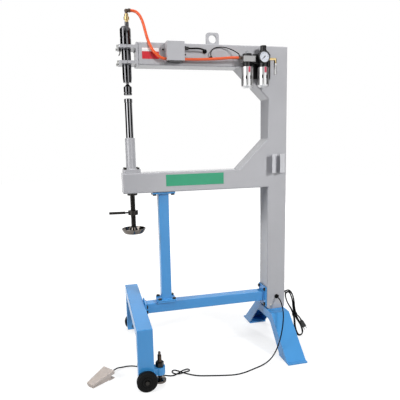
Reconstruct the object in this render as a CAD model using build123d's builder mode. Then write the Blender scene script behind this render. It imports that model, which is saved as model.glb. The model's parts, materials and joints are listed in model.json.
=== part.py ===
"""Pneumatic planishing hammer: C-frame, hammer, screw-lift anvil, air line, stand and foot pedal.

Millimetres. X runs along the arms, Y through the frame, Z up from the floor, and the origin is on
the floor under the middle of the machine. Places along X are measured from the hammer's axis.
"""

import math
import os

from build123d import *

os.makedirs("parts", exist_ok=True)

# Clearances
running_gap = 0.3
shaft_clearance = 0.05
bolt_clearance = 0.25

# Welded C-frame
frame_depth = 100
frame_wall = 6
frame_top = 1520
upper_arm_height = 100
throat_height = 488
lower_arm_height = 95
throat_depth = 680
column_width = 100
column_corner = 18
upper_arm_start = 52
lower_arm_overhang = 45
gusset_leg = 148

# Lifting lug
lug_place = 412
lug_width = 63
lug_height = 63
lug_thickness = 12
lug_hole_radius = 19
lug_hole_height = 34
lug_corner = 12

# Hammer
barrel_radius = 21
barrel_length = 166
barrel_drop = 72
barrel_taper = 20
barrel_nose_radius = 18.5
barrel_nose = 27
cylinder_radius = 12
backhead_radius = 25
backhead_length = 70
backhead_shoulder = 10
backhead_shoulder_radius = 18
backhead_groove_height = 28
backhead_groove_width = 5
backhead_groove_depth = 2
backhead_spigot = 14
bushing_radius = 9.25
bushing_length = 20
inlet_shift = 8
air_way_radius = 4
air_chamber_radius = 8
air_chamber_drop = 12
piston_length = 40
piston_rise = 12

# Upper die
die_radius = 19
die_height = 37
die_cone = 12
die_neck = 7
die_neck_radius = 6
die_shank_rise = 5
die_groove_height = 10
die_groove_width = 3
die_groove_depth = 2.5
die_edge = 2
die_gap = 16

# Clamp that holds the hammer
clamp_width = 90
clamp_plate = 13
clamp_upper_drop = 12
clamp_lower_rise = 7
clamp_end_plate = 12
clamp_reach = 37
clamp_split = 1.5
clamp_window_corner = 8
clamp_outer_corner = 8
clamp_screw_spread = 33
clamp_screw_length = 60
lever_place = 29
lever_offset = 10
lever_pin_radius = 3
lever_pin_length = 8
lever_hub_radius = 6
lever_hub_height = 7
lever_rod_radius = 2.5
lever_drop = 22
lever_bend = 6

# Air coupler and hose swivel
coupler_radius = 9
coupler_collar = 3
coupler_neck_radius = 7
coupler_height = 36
coupler_crown = 12
coupler_sleeve_radius = 12.5
coupler_sleeve_length = 14
coupler_sleeve_edge = 1
swivel_stem_radius = 6.5
swivel_stem = 7
swivel_ball_radius = 8.5
swivel_ball_sink = 1.5
swivel_outlet_radius = 5.5

# Air hose
hose_radius = 6.5
hose_clamp_radius = 8.5
hose_clamp_length = 12

# Solenoid valve and its cover
cover_start = 172
cover_width = 82
cover_depth = 45
cover_bottom_drop = 86
cover_height = 84
cover_sheet = 2
cover_flange_width = 20
cover_flange_height = 60
cover_notch_gap = 2
valve_start = 186
valve_width = 54
valve_depth = 38
valve_height = 24
coil_width = 36
coil_depth = 32
coil_height = 50
port_nut_radius = 9.5
port_nut_length = 8
port_drop = 76
fitting_drop = 6
port_depth = 22
gland_radius = 10.5
gland_nut_length = 10
gland_dome_radius = 8
gland_dome_length = 12
gland_drop = 28
valve_cable_radius = 4
valve_exit_place = 359
valve_exit_drop = 35
sense_exit_place = 388
sense_exit_drop = 63
sense_line_radius = 2.25
grommet_lip = 4
grommet_lip_width = 6
pedal_grommet_lip_width = 8.5
grommet_neck_width = 2.5

# Air treatment unit: lubricator on the left, filter regulator on the right
unit_depth = 34
lubricator_place = 556
regulator_place = 637
lubricator_head_left = 27
lubricator_head_right = 33
lubricator_head_depth = 50
lubricator_head_height = 26
lubricator_head_drop = 60
lubricator_collar_radius = 21.5
lubricator_collar_height = 22
bowl_radius = 28
bowl_height = 95
bowl_wall = 2.5
bowl_lip = 4
bowl_bottom_corner = 9
bowl_slot_count = 8
bowl_slot_turn = 14.5
bowl_slot_width = 7
bowl_slot_height = 16
bowl_slot_rise = 46
oil_cap_radius = 21
oil_cap_height = 12
dome_radius = 8
dome_height = 14
dome_stem_radius = 4
dome_stem = 8
filter_bowl_radius = 27
filter_bowl_height = 90
regulator_radius = 26
regulator_height = 66
regulator_top_drop = 42
bonnet_radius = 17
bonnet_height = 11
knob_radius = 14.2
knob_height = 22
knob_stem_radius = 6
knob_stem = 9
knob_rib_count = 12
knob_rib_radius = 1.2
gauge_radius = 27
gauge_depth = 17
gauge_rim = 3
gauge_rim_depth = 5
gauge_stem_radius = 6
gauge_stem = 20
gauge_stand_off = 6
gauge_shift = 13.5
gauge_drop = 26
dial_thickness = 1
needle_length = 17
needle_tail = 6
needle_width = 1.8
needle_thickness = 0.8
needle_hub_radius = 2.4
needle_pin_radius = 1
needle_rest_angle = 225
unit_bracket_thickness = 4
unit_bracket_width = 90
unit_bracket_height = 116
unit_bracket_start = 597
unit_bracket_drop = 40
unit_spacer_height = 40
unit_spacer_depth = 46
unit_screw_margin = 10
elbow_radius = 6
elbow_reach = 36
elbow_fall = 20
elbow_drop = 26
plug_collar_radius = 8
plug_collar = 8
plug_body_radius = 6.5
plug_body = 13
plug_neck_radius = 4
plug_neck = 9
plug_tip_radius = 6
plug_tip = 22

# Plates on the arms, left blank
plate_thickness = 1
red_plate_start = 66
red_plate_width = 77
red_plate_height = 48
red_plate_drop = 25
green_plate_start = 158
green_plate_width = 287
green_plate_height = 55
green_plate_rise = 28

# Tool rack on the column: a sheet folded into two pockets
rack_margin = 8
rack_bottom = 908
rack_height = 95
rack_tooth_depth = 34
rack_sheet = 2

# Anvil and its lift
anvil_die_height = 18
anvil_die_shank_radius = 8
anvil_die_shank = 20
anvil_post_radius = 17.5
anvil_post_rise = 30
sleeve_radius = 23.25
sleeve_height = 164
sleeve_flange = 82
sleeve_flange_thickness = 18
sleeve_flange_corner = 8
sleeve_edge = 1.5
sleeve_bolt_spread = 29.5
screw_radius = 12
screw_drop = 192
screw_spigot_radius = 7
screw_spigot = 12
post_passage = 2
nut_flange_radius = 24
nut_flange = 12
nut_boss_radius = 18
nut_boss = 25
lock_nut_radius = 24
lock_nut_height = 20.5
lock_nut_drop = 86.5
lock_stud_radius = 4
lock_stud_reach = 38
lock_rod_radius = 6.5
lock_rod_reach = 115
lock_rod_edge = 2
lock_rod_turn = 6.5
wheel_rim_radius = 58
wheel_heel_radius = 50
wheel_foot_radius = 44
wheel_dish_height = 24
wheel_rim_height = 4
wheel_heel = 5
wheel_sheet = 4.5
wheel_hub_radius = 22
wheel_hub_top_radius = 15.5
wheel_hub_height = 30
wheel_bottom_drop = 198

# Stand: post and beam
tube_size = 50
tube_wall = 3
post_place = 148
post_top_flange_length = 110
post_top_flange_width = 80
post_top_flange = 10
post_top_bolt_length = 44.5
post_top_bolt_width = 28
post_foot_flange_length = 94
post_foot_flange_width = 80
post_foot_flange = 8
post_foot_bolt_length = 36.5
post_foot_bolt_width = 30
beam_height = 228
beam_flange = 8
beam_front_flange_width = 100
beam_front_flange_height = 66
beam_front_bolt_width = 37
beam_front_bolt_height = 28
beam_rear_flange_width = 92
beam_rear_flange_height = 106
beam_rear_bolt_width = 36
beam_rear_bolt_height = 80

# Front foot with wheels and levelling feet
front_foot_place = -1
front_foot_width = 70
front_foot_half_span = 304
front_foot_top = 276
front_foot_beam = 50
front_foot_leg = 50
front_foot_leg_bottom = 25
front_foot_wall = 4
wheel_radius = 45.5
wheel_width = 24
wheel_gap = 3
wheel_tread_corner = 4
wheel_recess_radius = 24
wheel_recess = 4
axle_radius = 6
axle_head_radius = 10
axle_head = 7
level_place = 62
level_boss_radius = 24
level_boss_bottom = 54
level_boss_height = 33
level_web = 40
level_nut_radius = 19
level_nut_height = 21
level_stud_radius = 9
level_stud_tip_radius = 6
level_stud_tip = 15
level_stud_top = 155
level_pad_radius = 27.5
level_pad_height = 14
level_pad_bottom = 16
level_pad_crown = 5

# Rear foot
rear_foot_height = 184
rear_foot_top_half = 100
rear_foot_base_half = 279
rear_foot_leg_inner = 195
rear_foot_arch_half = 78
rear_foot_arch_top = 141
rear_foot_arch_corner = 60
rear_foot_side = 5
rear_foot_top_plate = 6
rear_foot_sole = 8
rear_foot_sole_inner = 192
rear_foot_sole_outer = 295

# Screws and bolts
cap_screw_radius = 4
cap_head_radius = 6.5
cap_head = 8
cap_socket_radius = 3.4
cap_socket = 4
small_screw_radius = 2.5
small_head_radius = 4.5
small_head = 4
small_socket_radius = 2.2
small_socket = 2
small_screw_length = 9
bolt_radius = 5
bolt_head_radius = 9.2
bolt_head = 7

# Foot pedal, wedge shaped, pivoting at its toe
pedal_toe_x = -245.5
pedal_toe_y = -225
pedal_turn = 41
pedal_length = 117
pedal_toe_width = 40
pedal_heel_width = 70
pedal_toe_height = 20
pedal_heel_height = 38
pedal_sheet = 2.5
pedal_skirt_toe = 8
pedal_skirt_heel = 19.5
pedal_base_gap = 1
pedal_base_wall = 2.5
pedal_base_floor = 3
pedal_base_toe_height = 14
pedal_base_heel_height = 23
pedal_base_heel_inset = 16
pedal_lip_overhang = 2
pedal_pin_place = 11
pedal_pin_height = 10
pedal_pin_radius = 3
pedal_gland_radius = 5
pedal_gland_height = 12
pedal_gland_reach = 8
pedal_slot_width = 12
pedal_slot_top = 31
pedal_spring_place = 80
pedal_spring_radius = 7
pedal_cable_radius = 3
pedal_exit_height = 254
pedal_exit_place = 52.5

# Mains lead: hank of loops in two layers, and its plug
cord_radius = 3.5
cord_exit_height = 252
hank_top = (816, 0, 259)
hank_bottom = (889.5, -29, -0.9)
hank_half_width = 26.5
hank_half_waist = 13
hank_step = 11
hank_layer_gap = 7.8
hank_turns_each_layer = 1
lobe_from_tip = 32
plug_place = (36, 20.5)
plug_depth = 20
plug_lean = 10
mains_plug_width = 22
mains_plug_neck_width = 16
mains_plug_corner = 3
mains_plug_thickness = 15
mains_plug_length = 36
mains_plug_neck_radius = 5
mains_plug_neck = 12
prong_width = 6
prong_thickness = 1.6
prong_length = 17
prong_spread = 6.5

# Places that follow from the sizes above
pedal_angle = math.radians(pedal_turn)
machine_left = pedal_toe_x - pedal_toe_width / 2 * math.sin(pedal_angle)
machine_right = throat_depth + column_width + grommet_lip
axis_x = -(machine_left + machine_right) / 2

frame_front = -frame_depth / 2
upper_arm_bottom = frame_top - upper_arm_height
lower_arm_top = upper_arm_bottom - throat_height
lower_arm_bottom = lower_arm_top - lower_arm_height
column_left = axis_x + throat_depth
column_right = column_left + column_width
arm_end = axis_x + upper_arm_start
lower_arm_end = axis_x - lower_arm_overhang

barrel_bottom = upper_arm_bottom - barrel_drop
barrel_top = barrel_bottom + barrel_length
backhead_top = barrel_top + backhead_length + backhead_shoulder
bushing_top = backhead_top + bushing_length
air_chamber_top = backhead_top - air_chamber_drop
inlet_x = axis_x + inlet_shift
cylinder_bottom = barrel_bottom + barrel_nose
piston_bottom = cylinder_bottom + die_shank_rise + piston_rise
coupler_top = bushing_top + coupler_height
swivel_height = coupler_top + swivel_stem + swivel_ball_radius - swivel_ball_sink

die_top = barrel_bottom - die_neck - die_cone
die_face = die_top - die_height
anvil_top = die_face - die_gap
anvil_post_top = anvil_top - anvil_die_height
anvil_post_bottom = lower_arm_top + anvil_post_rise
screw_top = anvil_post_bottom - running_gap
screw_bottom = lower_arm_bottom - screw_drop

clamp_heights = (frame_top - clamp_upper_drop - clamp_plate, upper_arm_bottom + clamp_lower_rise)
port_height = frame_top - port_drop
port_y = frame_front - port_depth
gland_height = frame_top - gland_drop
unit_y = frame_front - unit_depth
lubricator_x = axis_x + lubricator_place
regulator_x = axis_x + regulator_place
lubricator_top = frame_top - lubricator_head_drop
lubricator_bottom = lubricator_top - lubricator_head_height
regulator_top = frame_top - regulator_top_drop
regulator_bottom = regulator_top - regulator_height

post_x = axis_x + post_place
beam_top = beam_height + tube_size
post_bottom = beam_top + beam_flange
foot_x = axis_x + front_foot_place
foot_rear = foot_x + front_foot_width / 2
leg_y = front_foot_half_span - front_foot_leg / 2
level_x = axis_x + level_place


def front(y):
    """Plane facing the front at depth y: sketch X is X, sketch Y is height."""
    return Plane.XZ.offset(-y)


def across(x):
    """Plane square to the arms at x: sketch X is depth, sketch Y is height."""
    return Plane.YZ.offset(x)


def section(x, y):
    """Half section of a turned piece on the upright line at (x, y): sketch X is the radius."""
    return Plane(origin=(x, y, 0), x_dir=(1, 0, 0), z_dir=(0, -1, 0))


def upright(x, y):
    """Upright line at (x, y)."""
    return Axis((x, y, 0), (0, 0, 1))


def corners(spread_x, spread_y):
    """Four places at the corners of a rectangle about the origin."""
    return [(sx * spread_x, sy * spread_y) for sx in (-1, 1) for sy in (-1, 1)]


hammer_section = section(axis_x, 0)
hammer_axis = upright(axis_x, 0)


# C-frame, welded from plate and open inside
frame_outline = [
    (arm_end, frame_top),
    (column_right, frame_top),
    (column_right, rear_foot_height),
    (column_left, rear_foot_height),
    (column_left, lower_arm_bottom),
    (lower_arm_end, lower_arm_bottom),
    (lower_arm_end, lower_arm_top),
    (column_left - gusset_leg, lower_arm_top),
    (column_left, lower_arm_top + gusset_leg),
    (column_left, upper_arm_bottom - gusset_leg),
    (column_left - gusset_leg, upper_arm_bottom),
    (arm_end, upper_arm_bottom),
]
cover_left = axis_x + cover_start
cover_right = cover_left + cover_width
cover_bottom = frame_top - cover_bottom_drop
cover_top = cover_bottom + cover_height
flange_bottom = cover_top - cover_flange_height
cover_screw_places = [
    (cover_left - cover_flange_width / 2, cover_top - cover_flange_height / 2),
    (cover_right + cover_flange_width / 2, flange_bottom + cover_flange_width / 2),
]
bracket_left = axis_x + unit_bracket_start
bracket_top = frame_top - unit_bracket_drop
unit_screw_places = [
    (bracket_left + unit_bracket_width - unit_screw_margin, bracket_top - unit_screw_margin),
    (bracket_left + unit_bracket_width - unit_screw_margin, upper_arm_bottom + unit_screw_margin),
]
valve_exit = (axis_x + valve_exit_place, frame_top - valve_exit_drop)
sense_exit = (axis_x + sense_exit_place, frame_top - sense_exit_drop)
pedal_exit = (column_left + pedal_exit_place, pedal_exit_height)
grommet_places = [
    (front(frame_front), valve_exit, valve_cable_radius, grommet_lip_width),
    (front(frame_front), sense_exit, sense_line_radius, grommet_lip_width),
    (front(frame_front), pedal_exit, pedal_cable_radius, pedal_grommet_lip_width),
    (across(column_right), (0, cord_exit_height), cord_radius, grommet_lip_width),
]
rear_flange_middle = beam_height + tube_size / 2
with BuildPart() as c_frame:
    with BuildSketch(front(frame_front)) as outline:
        Polygon(*frame_outline, align=None)
        fillet(outline.vertices().group_by(Axis.Y)[0], column_corner)
    extrude(amount=-frame_depth)
    with BuildSketch(front(frame_front + frame_wall)):
        Polygon(*frame_outline, align=None)
        offset(amount=-frame_wall, kind=Kind.INTERSECTION)
    extrude(amount=-(frame_depth - 2 * frame_wall), mode=Mode.SUBTRACT)
    for plane, place, radius, lip_width in grommet_places:
        with BuildSketch(plane):
            with Locations(place):
                Circle(radius + grommet_neck_width + shaft_clearance)
        extrude(amount=-frame_wall, mode=Mode.SUBTRACT)
    with BuildSketch(front(frame_front)):
        with Locations(*cover_screw_places, *unit_screw_places):
            Circle(small_screw_radius + bolt_clearance)
    extrude(amount=-frame_wall, mode=Mode.SUBTRACT)
    with BuildSketch(Plane((axis_x, 0, lower_arm_top))):
        Circle(anvil_post_radius + post_passage)
        with Locations(*corners(sleeve_bolt_spread, sleeve_bolt_spread)):
            Circle(cap_screw_radius + bolt_clearance)
    extrude(amount=-frame_wall, mode=Mode.SUBTRACT)
    with BuildSketch(Plane((axis_x, 0, lower_arm_bottom))):
        Circle(nut_boss_radius + shaft_clearance)
        with Locations((post_place, 0)):
            with Locations(*corners(post_top_bolt_length, post_top_bolt_width)):
                Circle(bolt_radius + bolt_clearance)
    extrude(amount=frame_wall, mode=Mode.SUBTRACT)
    with BuildSketch(across(column_left)):
        with Locations((0, rear_flange_middle)):
            with Locations(*corners(beam_rear_bolt_width, beam_rear_bolt_height / 2)):
                Circle(bolt_radius + bolt_clearance)
    extrude(amount=frame_wall, mode=Mode.SUBTRACT)

# Lifting lug on the upper arm
with BuildPart() as lifting_lug:
    with BuildSketch(front(-lug_thickness / 2)) as outline:
        with Locations((axis_x + lug_place, frame_top + lug_height / 2)):
            Rectangle(lug_width, lug_height)
        fillet(outline.vertices().group_by(Axis.Y)[-1], lug_corner)
        with Locations((axis_x + lug_place, frame_top + lug_hole_height)):
            Circle(lug_hole_radius, mode=Mode.SUBTRACT)
    extrude(amount=-lug_thickness)

# Hammer bracket: an end plate with two arms that take half the barrel each
bracket_face = axis_x + clamp_split / 2
window_left = arm_end - clamp_end_plate
clamp_bore = barrel_radius + shaft_clearance
with BuildPart() as hammer_bracket:
    with BuildSketch(front(-clamp_width / 2)) as outline:
        with Locations(((window_left + arm_end) / 2, (frame_top + upper_arm_bottom) / 2)):
            Rectangle(clamp_end_plate, upper_arm_height)
        for height in clamp_heights:
            with Locations(((bracket_face + arm_end) / 2, height + clamp_plate / 2)):
                Rectangle(arm_end - bracket_face, clamp_plate)
        inner_corners = outline.vertices().filter_by(
            lambda corner: abs(corner.X - window_left) < 0.01
            and clamp_heights[1] < corner.Y < clamp_heights[0] + 0.01
        )
        fillet(inner_corners, clamp_window_corner)
    extrude(amount=-clamp_width)
    with BuildSketch(Plane((axis_x, 0, upper_arm_bottom))):
        Circle(clamp_bore)
    extrude(amount=upper_arm_height, mode=Mode.SUBTRACT)
    with BuildSketch(across(bracket_face)):
        for height in clamp_heights:
            with Locations((0, height + clamp_plate / 2)):
                with Locations((-clamp_screw_spread, 0), (clamp_screw_spread, 0)):
                    Circle(cap_screw_radius + bolt_clearance)
    extrude(amount=clamp_screw_length - clamp_reach, mode=Mode.SUBTRACT)

# Clamp caps: the front halves, drawn to the bracket by screws
cap_face = axis_x - clamp_split / 2
cap_left = axis_x - clamp_reach
lever_x = axis_x - lever_place
with BuildPart() as clamp_caps:
    for height in clamp_heights:
        with BuildSketch(Plane((0, 0, height))) as outline:
            with Locations(((cap_left + cap_face) / 2, 0)):
                Rectangle(cap_face - cap_left, clamp_width)
            fillet(outline.vertices().group_by(Axis.X)[0], clamp_outer_corner)
            with Locations((axis_x, 0)):
                Circle(clamp_bore, mode=Mode.SUBTRACT)
        extrude(amount=clamp_plate)
        with BuildSketch(across(cap_left)):
            with Locations((0, height + clamp_plate / 2)):
                with Locations((-clamp_screw_spread, 0), (clamp_screw_spread, 0)):
                    Circle(cap_screw_radius + bolt_clearance)
        extrude(amount=clamp_reach, mode=Mode.SUBTRACT)
    with BuildSketch(Plane((lever_x, -lever_offset, clamp_heights[0]))):
        Circle(lever_pin_radius + shaft_clearance)
    extrude(amount=lever_pin_length + running_gap, mode=Mode.SUBTRACT)

# Clamp lever: a bent rod that swings under the upper cap
lever_top = clamp_heights[0] - running_gap
rod_top = lever_top - lever_hub_height
with BuildPart() as clamp_lever:
    with BuildSketch(Plane((lever_x, -lever_offset, rod_top))):
        Circle(lever_hub_radius)
    extrude(amount=lever_hub_height)
    with BuildSketch(Plane((lever_x, -lever_offset, lever_top))):
        Circle(lever_pin_radius)
    extrude(amount=lever_pin_length)
    with BuildLine(front(-lever_offset)) as rod_path:
        Line((lever_x, rod_top + lever_rod_radius), (lever_x, rod_top - lever_drop / 2))
        TangentArc(
            (lever_x, rod_top - lever_drop / 2),
            (lever_x - lever_bend, rod_top - lever_drop),
            tangent=(0, -1),
        )
    with BuildSketch(Plane((lever_x, -lever_offset, rod_top + lever_rod_radius))):
        Circle(lever_rod_radius)
    sweep()

# Hammer barrel with its cylinder and the die's guide
with BuildPart() as hammer_barrel:
    with BuildSketch(hammer_section):
        Polygon(
            (die_neck_radius + shaft_clearance, barrel_bottom),
            (barrel_nose_radius, barrel_bottom),
            (barrel_radius, barrel_bottom + barrel_taper),
            (barrel_radius, barrel_top),
            (cylinder_radius, barrel_top),
            (cylinder_radius, cylinder_bottom),
            (die_neck_radius + shaft_clearance, cylinder_bottom),
            align=None,
        )
    revolve(axis=hammer_axis)

# Backhead with a spigot in the cylinder, and the air bushing to one side of its top
with BuildPart() as hammer_backhead:
    groove_bottom = barrel_top + backhead_groove_height
    groove_top = groove_bottom + backhead_groove_width
    with BuildSketch(hammer_section):
        Polygon(
            (air_chamber_radius, barrel_top - backhead_spigot),
            (cylinder_radius - shaft_clearance, barrel_top - backhead_spigot),
            (cylinder_radius - shaft_clearance, barrel_top),
            (backhead_radius, barrel_top),
            (backhead_radius, groove_bottom),
            (backhead_radius - backhead_groove_depth, groove_bottom),
            (backhead_radius - backhead_groove_depth, groove_top),
            (backhead_radius, groove_top),
            (backhead_radius, barrel_top + backhead_length),
            (backhead_shoulder_radius, backhead_top),
            (0, backhead_top),
            (0, air_chamber_top),
            (air_chamber_radius, air_chamber_top),
            align=None,
        )
    revolve(axis=hammer_axis)
    with BuildSketch(Plane((inlet_x, 0, backhead_top))):
        Circle(bushing_radius)
    extrude(amount=bushing_length)
    with BuildSketch(Plane((inlet_x, 0, bushing_top))):
        Circle(air_way_radius)
    extrude(amount=-(bushing_top - air_chamber_top), mode=Mode.SUBTRACT)

# Piston in the cylinder
with BuildPart() as piston:
    with BuildSketch(Plane((axis_x, 0, piston_bottom))):
        Circle(cylinder_radius - shaft_clearance)
    extrude(amount=piston_length)

# Upper die, guided by its shank
with BuildPart() as upper_die:
    groove_bottom = die_face + die_groove_height
    groove_top = groove_bottom + die_groove_width
    with BuildSketch(hammer_section):
        Polygon(
            (0, die_face),
            (die_radius - die_edge, die_face),
            (die_radius, die_face + die_edge),
            (die_radius, groove_bottom),
            (die_radius - die_groove_depth, groove_bottom),
            (die_radius - die_groove_depth, groove_top),
            (die_radius, groove_top),
            (die_radius, die_top),
            (die_neck_radius, die_top + die_cone),
            (die_neck_radius, cylinder_bottom + die_shank_rise),
            (0, cylinder_bottom + die_shank_rise),
            align=None,
        )
    revolve(axis=hammer_axis)

# Quick coupler: body, and the sleeve that slides on its neck
crown_bottom = coupler_top - coupler_crown
with BuildPart() as coupler_body:
    with BuildSketch(section(inlet_x, 0)):
        Polygon(
            (air_way_radius, bushing_top),
            (coupler_radius, bushing_top),
            (coupler_radius, bushing_top + coupler_collar),
            (coupler_neck_radius, bushing_top + coupler_collar),
            (coupler_neck_radius, crown_bottom),
            (coupler_radius, crown_bottom),
            (coupler_radius, coupler_top),
            (air_way_radius, coupler_top),
            align=None,
        )
    revolve(axis=upright(inlet_x, 0))

with BuildPart() as coupler_sleeve:
    with BuildSketch(Plane((inlet_x, 0, crown_bottom - running_gap - coupler_sleeve_length))):
        Circle(coupler_sleeve_radius)
        Circle(coupler_neck_radius + shaft_clearance, mode=Mode.SUBTRACT)
    extrude(amount=coupler_sleeve_length)
    outer_rims = coupler_sleeve.edges().filter_by(GeomType.CIRCLE).group_by(SortBy.RADIUS)[-1]
    chamfer(outer_rims, coupler_sleeve_edge)

# Air hose from the hammer to the valve, chosen points
hose_a_start = Vector(axis_x + 27, -4, swivel_height)
hose_a_route = [
    hose_a_start,
    Vector(axis_x + 41, -6, swivel_height - 1),
    Vector(axis_x + 53.5, -10, 1657),
    Vector(axis_x + 64, -14.5, 1645.5),
    Vector(axis_x + 72.5, -20, 1629),
    Vector(axis_x + 78.5, -26, 1609),
    Vector(axis_x + 83, -32.5, 1587.5),
    Vector(axis_x + 87, -39.5, 1564),
    Vector(axis_x + 92, -46.5, 1539.5),
    Vector(axis_x + 98.5, -53.5, 1515),
    Vector(axis_x + 107, -60, 1492.5),
    Vector(axis_x + 119, -65.5, 1473.5),
    Vector(axis_x + 134.5, -69.5, 1458.5),
    Vector(axis_x + 149.5, -71.5, 1448),
    Vector(axis_x + 165, port_y, port_height),
    Vector(axis_x + valve_start - port_nut_length, port_y, port_height),
]

# Hose from the valve to the lubricator
fitting_height = lubricator_top - fitting_drop
fitting_left = lubricator_x - lubricator_head_left - 2 * port_nut_length
hose_b_route = [
    Vector(axis_x + valve_start + valve_width + port_nut_length, port_y, port_height),
    Vector(axis_x + 288, port_y, port_height),
    Vector(axis_x + 332, -73.5, port_height + 0.8),
    Vector(axis_x + 376, -76, port_height + 2.2),
    Vector(axis_x + 416, -79, port_height + 4.5),
    Vector(axis_x + 452, -82.5, port_height + 7.5),
    Vector(axis_x + 482, unit_y, fitting_height),
    Vector(fitting_left, unit_y, fitting_height),
]

# Valve lead from its gland to the arm, and the thin line to the lubricator's inlet
gland_end = cover_right + gland_nut_length + gland_dome_length
valve_cable_route = [
    Vector(gland_end, port_y, gland_height),
    Vector(axis_x + 296, port_y, gland_height),
    Vector(axis_x + 315, -73, gland_height + 1.2),
    Vector(axis_x + 332, -72, gland_height + 0.5),
    Vector(axis_x + 346, -69, gland_height - 2.5),
    Vector(valve_exit[0] - 3, -65, valve_exit[1] + 2),
    Vector(valve_exit[0], -60, valve_exit[1]),
    Vector(valve_exit[0], frame_front - grommet_lip, valve_exit[1]),
]
port_nut_flat = port_nut_radius * math.cos(math.pi / 6)
sense_line_end = Vector(fitting_left + port_nut_length / 2, unit_y, fitting_height + port_nut_flat)
sense_line_route = [
    Vector(sense_exit[0], frame_front - grommet_lip, sense_exit[1]),
    Vector(sense_exit[0], -60, sense_exit[1]),
    Vector(axis_x + 386.5, -64, 1462),
    Vector(axis_x + 384.5, -64.5, 1469),
    Vector(axis_x + 385, -63, 1478),
    Vector(axis_x + 389, -61, 1487.5),
    Vector(axis_x + 397, -60, 1496),
    Vector(axis_x + 408, -59, 1501.5),
    Vector(axis_x + 422, -58.5, 1504.5),
    Vector(axis_x + 438, -59, 1505.5),
    Vector(axis_x + 454, -60, 1504.5),
    Vector(axis_x + 469, -62, 1501),
    Vector(axis_x + 483, -66, 1495),
    Vector(axis_x + 497, -71.5, 1487),
    Vector(axis_x + 508, -77.5, 1479),
    sense_line_end + Vector(0, 0, 7.5),
    sense_line_end,
]

# Pedal lead: from the column down to the floor, a bow of two loops, and behind the leg to the pedal
pedal_along = Vector(math.cos(pedal_angle), math.sin(pedal_angle), 0)
pedal_toe = Vector(axis_x + pedal_toe_x, pedal_toe_y, 0)
pedal_heel = pedal_toe + pedal_along * pedal_length
pedal_gland_end = pedal_heel + pedal_along * pedal_gland_reach + Vector(0, 0, pedal_gland_height)
floor_line = pedal_cable_radius
over_line = 3 * pedal_cable_radius + 1
pedal_cable_route = [
    Vector(pedal_exit[0], frame_front - grommet_lip, pedal_exit_height),
    Vector(pedal_exit[0], -72, pedal_exit_height),
    Vector(axis_x + 736, -100, 239),
    Vector(axis_x + 727, -142, 206),
    Vector(axis_x + 709, -178, 169),
    Vector(axis_x + 687, -207, 128),
    Vector(axis_x + 664, -227, 88),
    Vector(axis_x + 640, -239, 50),
    Vector(axis_x + 609, -248, 19),
    Vector(axis_x + 566, -259, floor_line),
    Vector(axis_x + 511, -278, floor_line),
    Vector(axis_x + 459, -297, floor_line),
    Vector(axis_x + 409, -304, floor_line),
    Vector(axis_x + 351, -293, floor_line),
    Vector(axis_x + 293, -279, floor_line),
    Vector(axis_x + 248, -268, floor_line),
    Vector(axis_x + 220, -254, floor_line),
    Vector(axis_x + 200, -239, floor_line),
    Vector(axis_x + 183, -225, floor_line),
    Vector(axis_x + 167, -209, floor_line),
    Vector(axis_x + 154, -195, floor_line),
    Vector(axis_x + 142, -188, floor_line),
    Vector(axis_x + 132, -194, floor_line),
    Vector(axis_x + 130, -206, floor_line),
    Vector(axis_x + 137, -218, floor_line),
    Vector(axis_x + 151, -227, floor_line + 0.5),
    Vector(axis_x + 168, -231, 6),
    Vector(axis_x + 187, -229.5, over_line),
    Vector(axis_x + 203, -223, 7),
    Vector(axis_x + 213, -212.5, floor_line + 0.5),
    Vector(axis_x + 213, -201, floor_line),
    Vector(axis_x + 204, -196, floor_line + 0.5),
    Vector(axis_x + 192, -203, 5),
    Vector(axis_x + 180, -213.5, over_line),
    Vector(axis_x + 166, -224, over_line + 0.4),
    Vector(axis_x + 150, -233, over_line - 1),
    Vector(axis_x + 132, -236, floor_line + 1),
    Vector(axis_x + 112, -231, floor_line),
    Vector(axis_x + 91, -220, floor_line),
    Vector(axis_x + 63, -199, floor_line),
    Vector(axis_x + 37, -172, floor_line),
    Vector(axis_x + 12, -143, floor_line),
    Vector(axis_x - 14, -116, floor_line),
    Vector(axis_x - 43, -98, floor_line),
    Vector(axis_x - 72, -95, floor_line + 0.5),
    Vector(axis_x - 99, -101, 5),
    Vector(axis_x - 119, -108, 9),
    pedal_gland_end + pedal_along * 16,
    pedal_gland_end,
]


def bend_radii(points):
    """Radius at each inner point of a route: as large as the two runs beside it allow."""
    radii = []
    for before, corner, after in zip(points, points[1:], points[2:]):
        run_in = corner - before
        run_out = after - corner
        half_turn = math.radians(run_in.get_angle(run_out)) / 2
        radii.append(0.45 * min(run_in.length, run_out.length) / math.tan(half_turn))
    return radii


def lead(name, points, radius):
    """Round lead along straight runs joined by tangent arcs."""
    radii = bend_radii(points)
    with BuildPart() as tube:
        with BuildLine() as path:
            FilletPolyline(*points, radius=radii)
        with BuildSketch(Plane(origin=points[0], z_dir=points[1] - points[0])):
            Circle(radius)
        sweep()
    length = sum(edge.length for edge in path.edges())
    share = tube.part.volume / (math.pi * radius**2 * length)
    print(f"{name}: {length:.0f} long, least radius {min(radii):.1f}, volume ratio {share:.4f}")
    print("  radii", [round(value) for value in radii])
    return tube


hose_a = lead("hose_a", hose_a_route, hose_radius)
hose_b = lead("hose_b", hose_b_route, hose_radius)
valve_cable = lead("valve_cable", valve_cable_route, valve_cable_radius)
sense_line = lead("sense_line", sense_line_route, sense_line_radius)
pedal_cable = lead("pedal_cable", pedal_cable_route, pedal_cable_radius)

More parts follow.
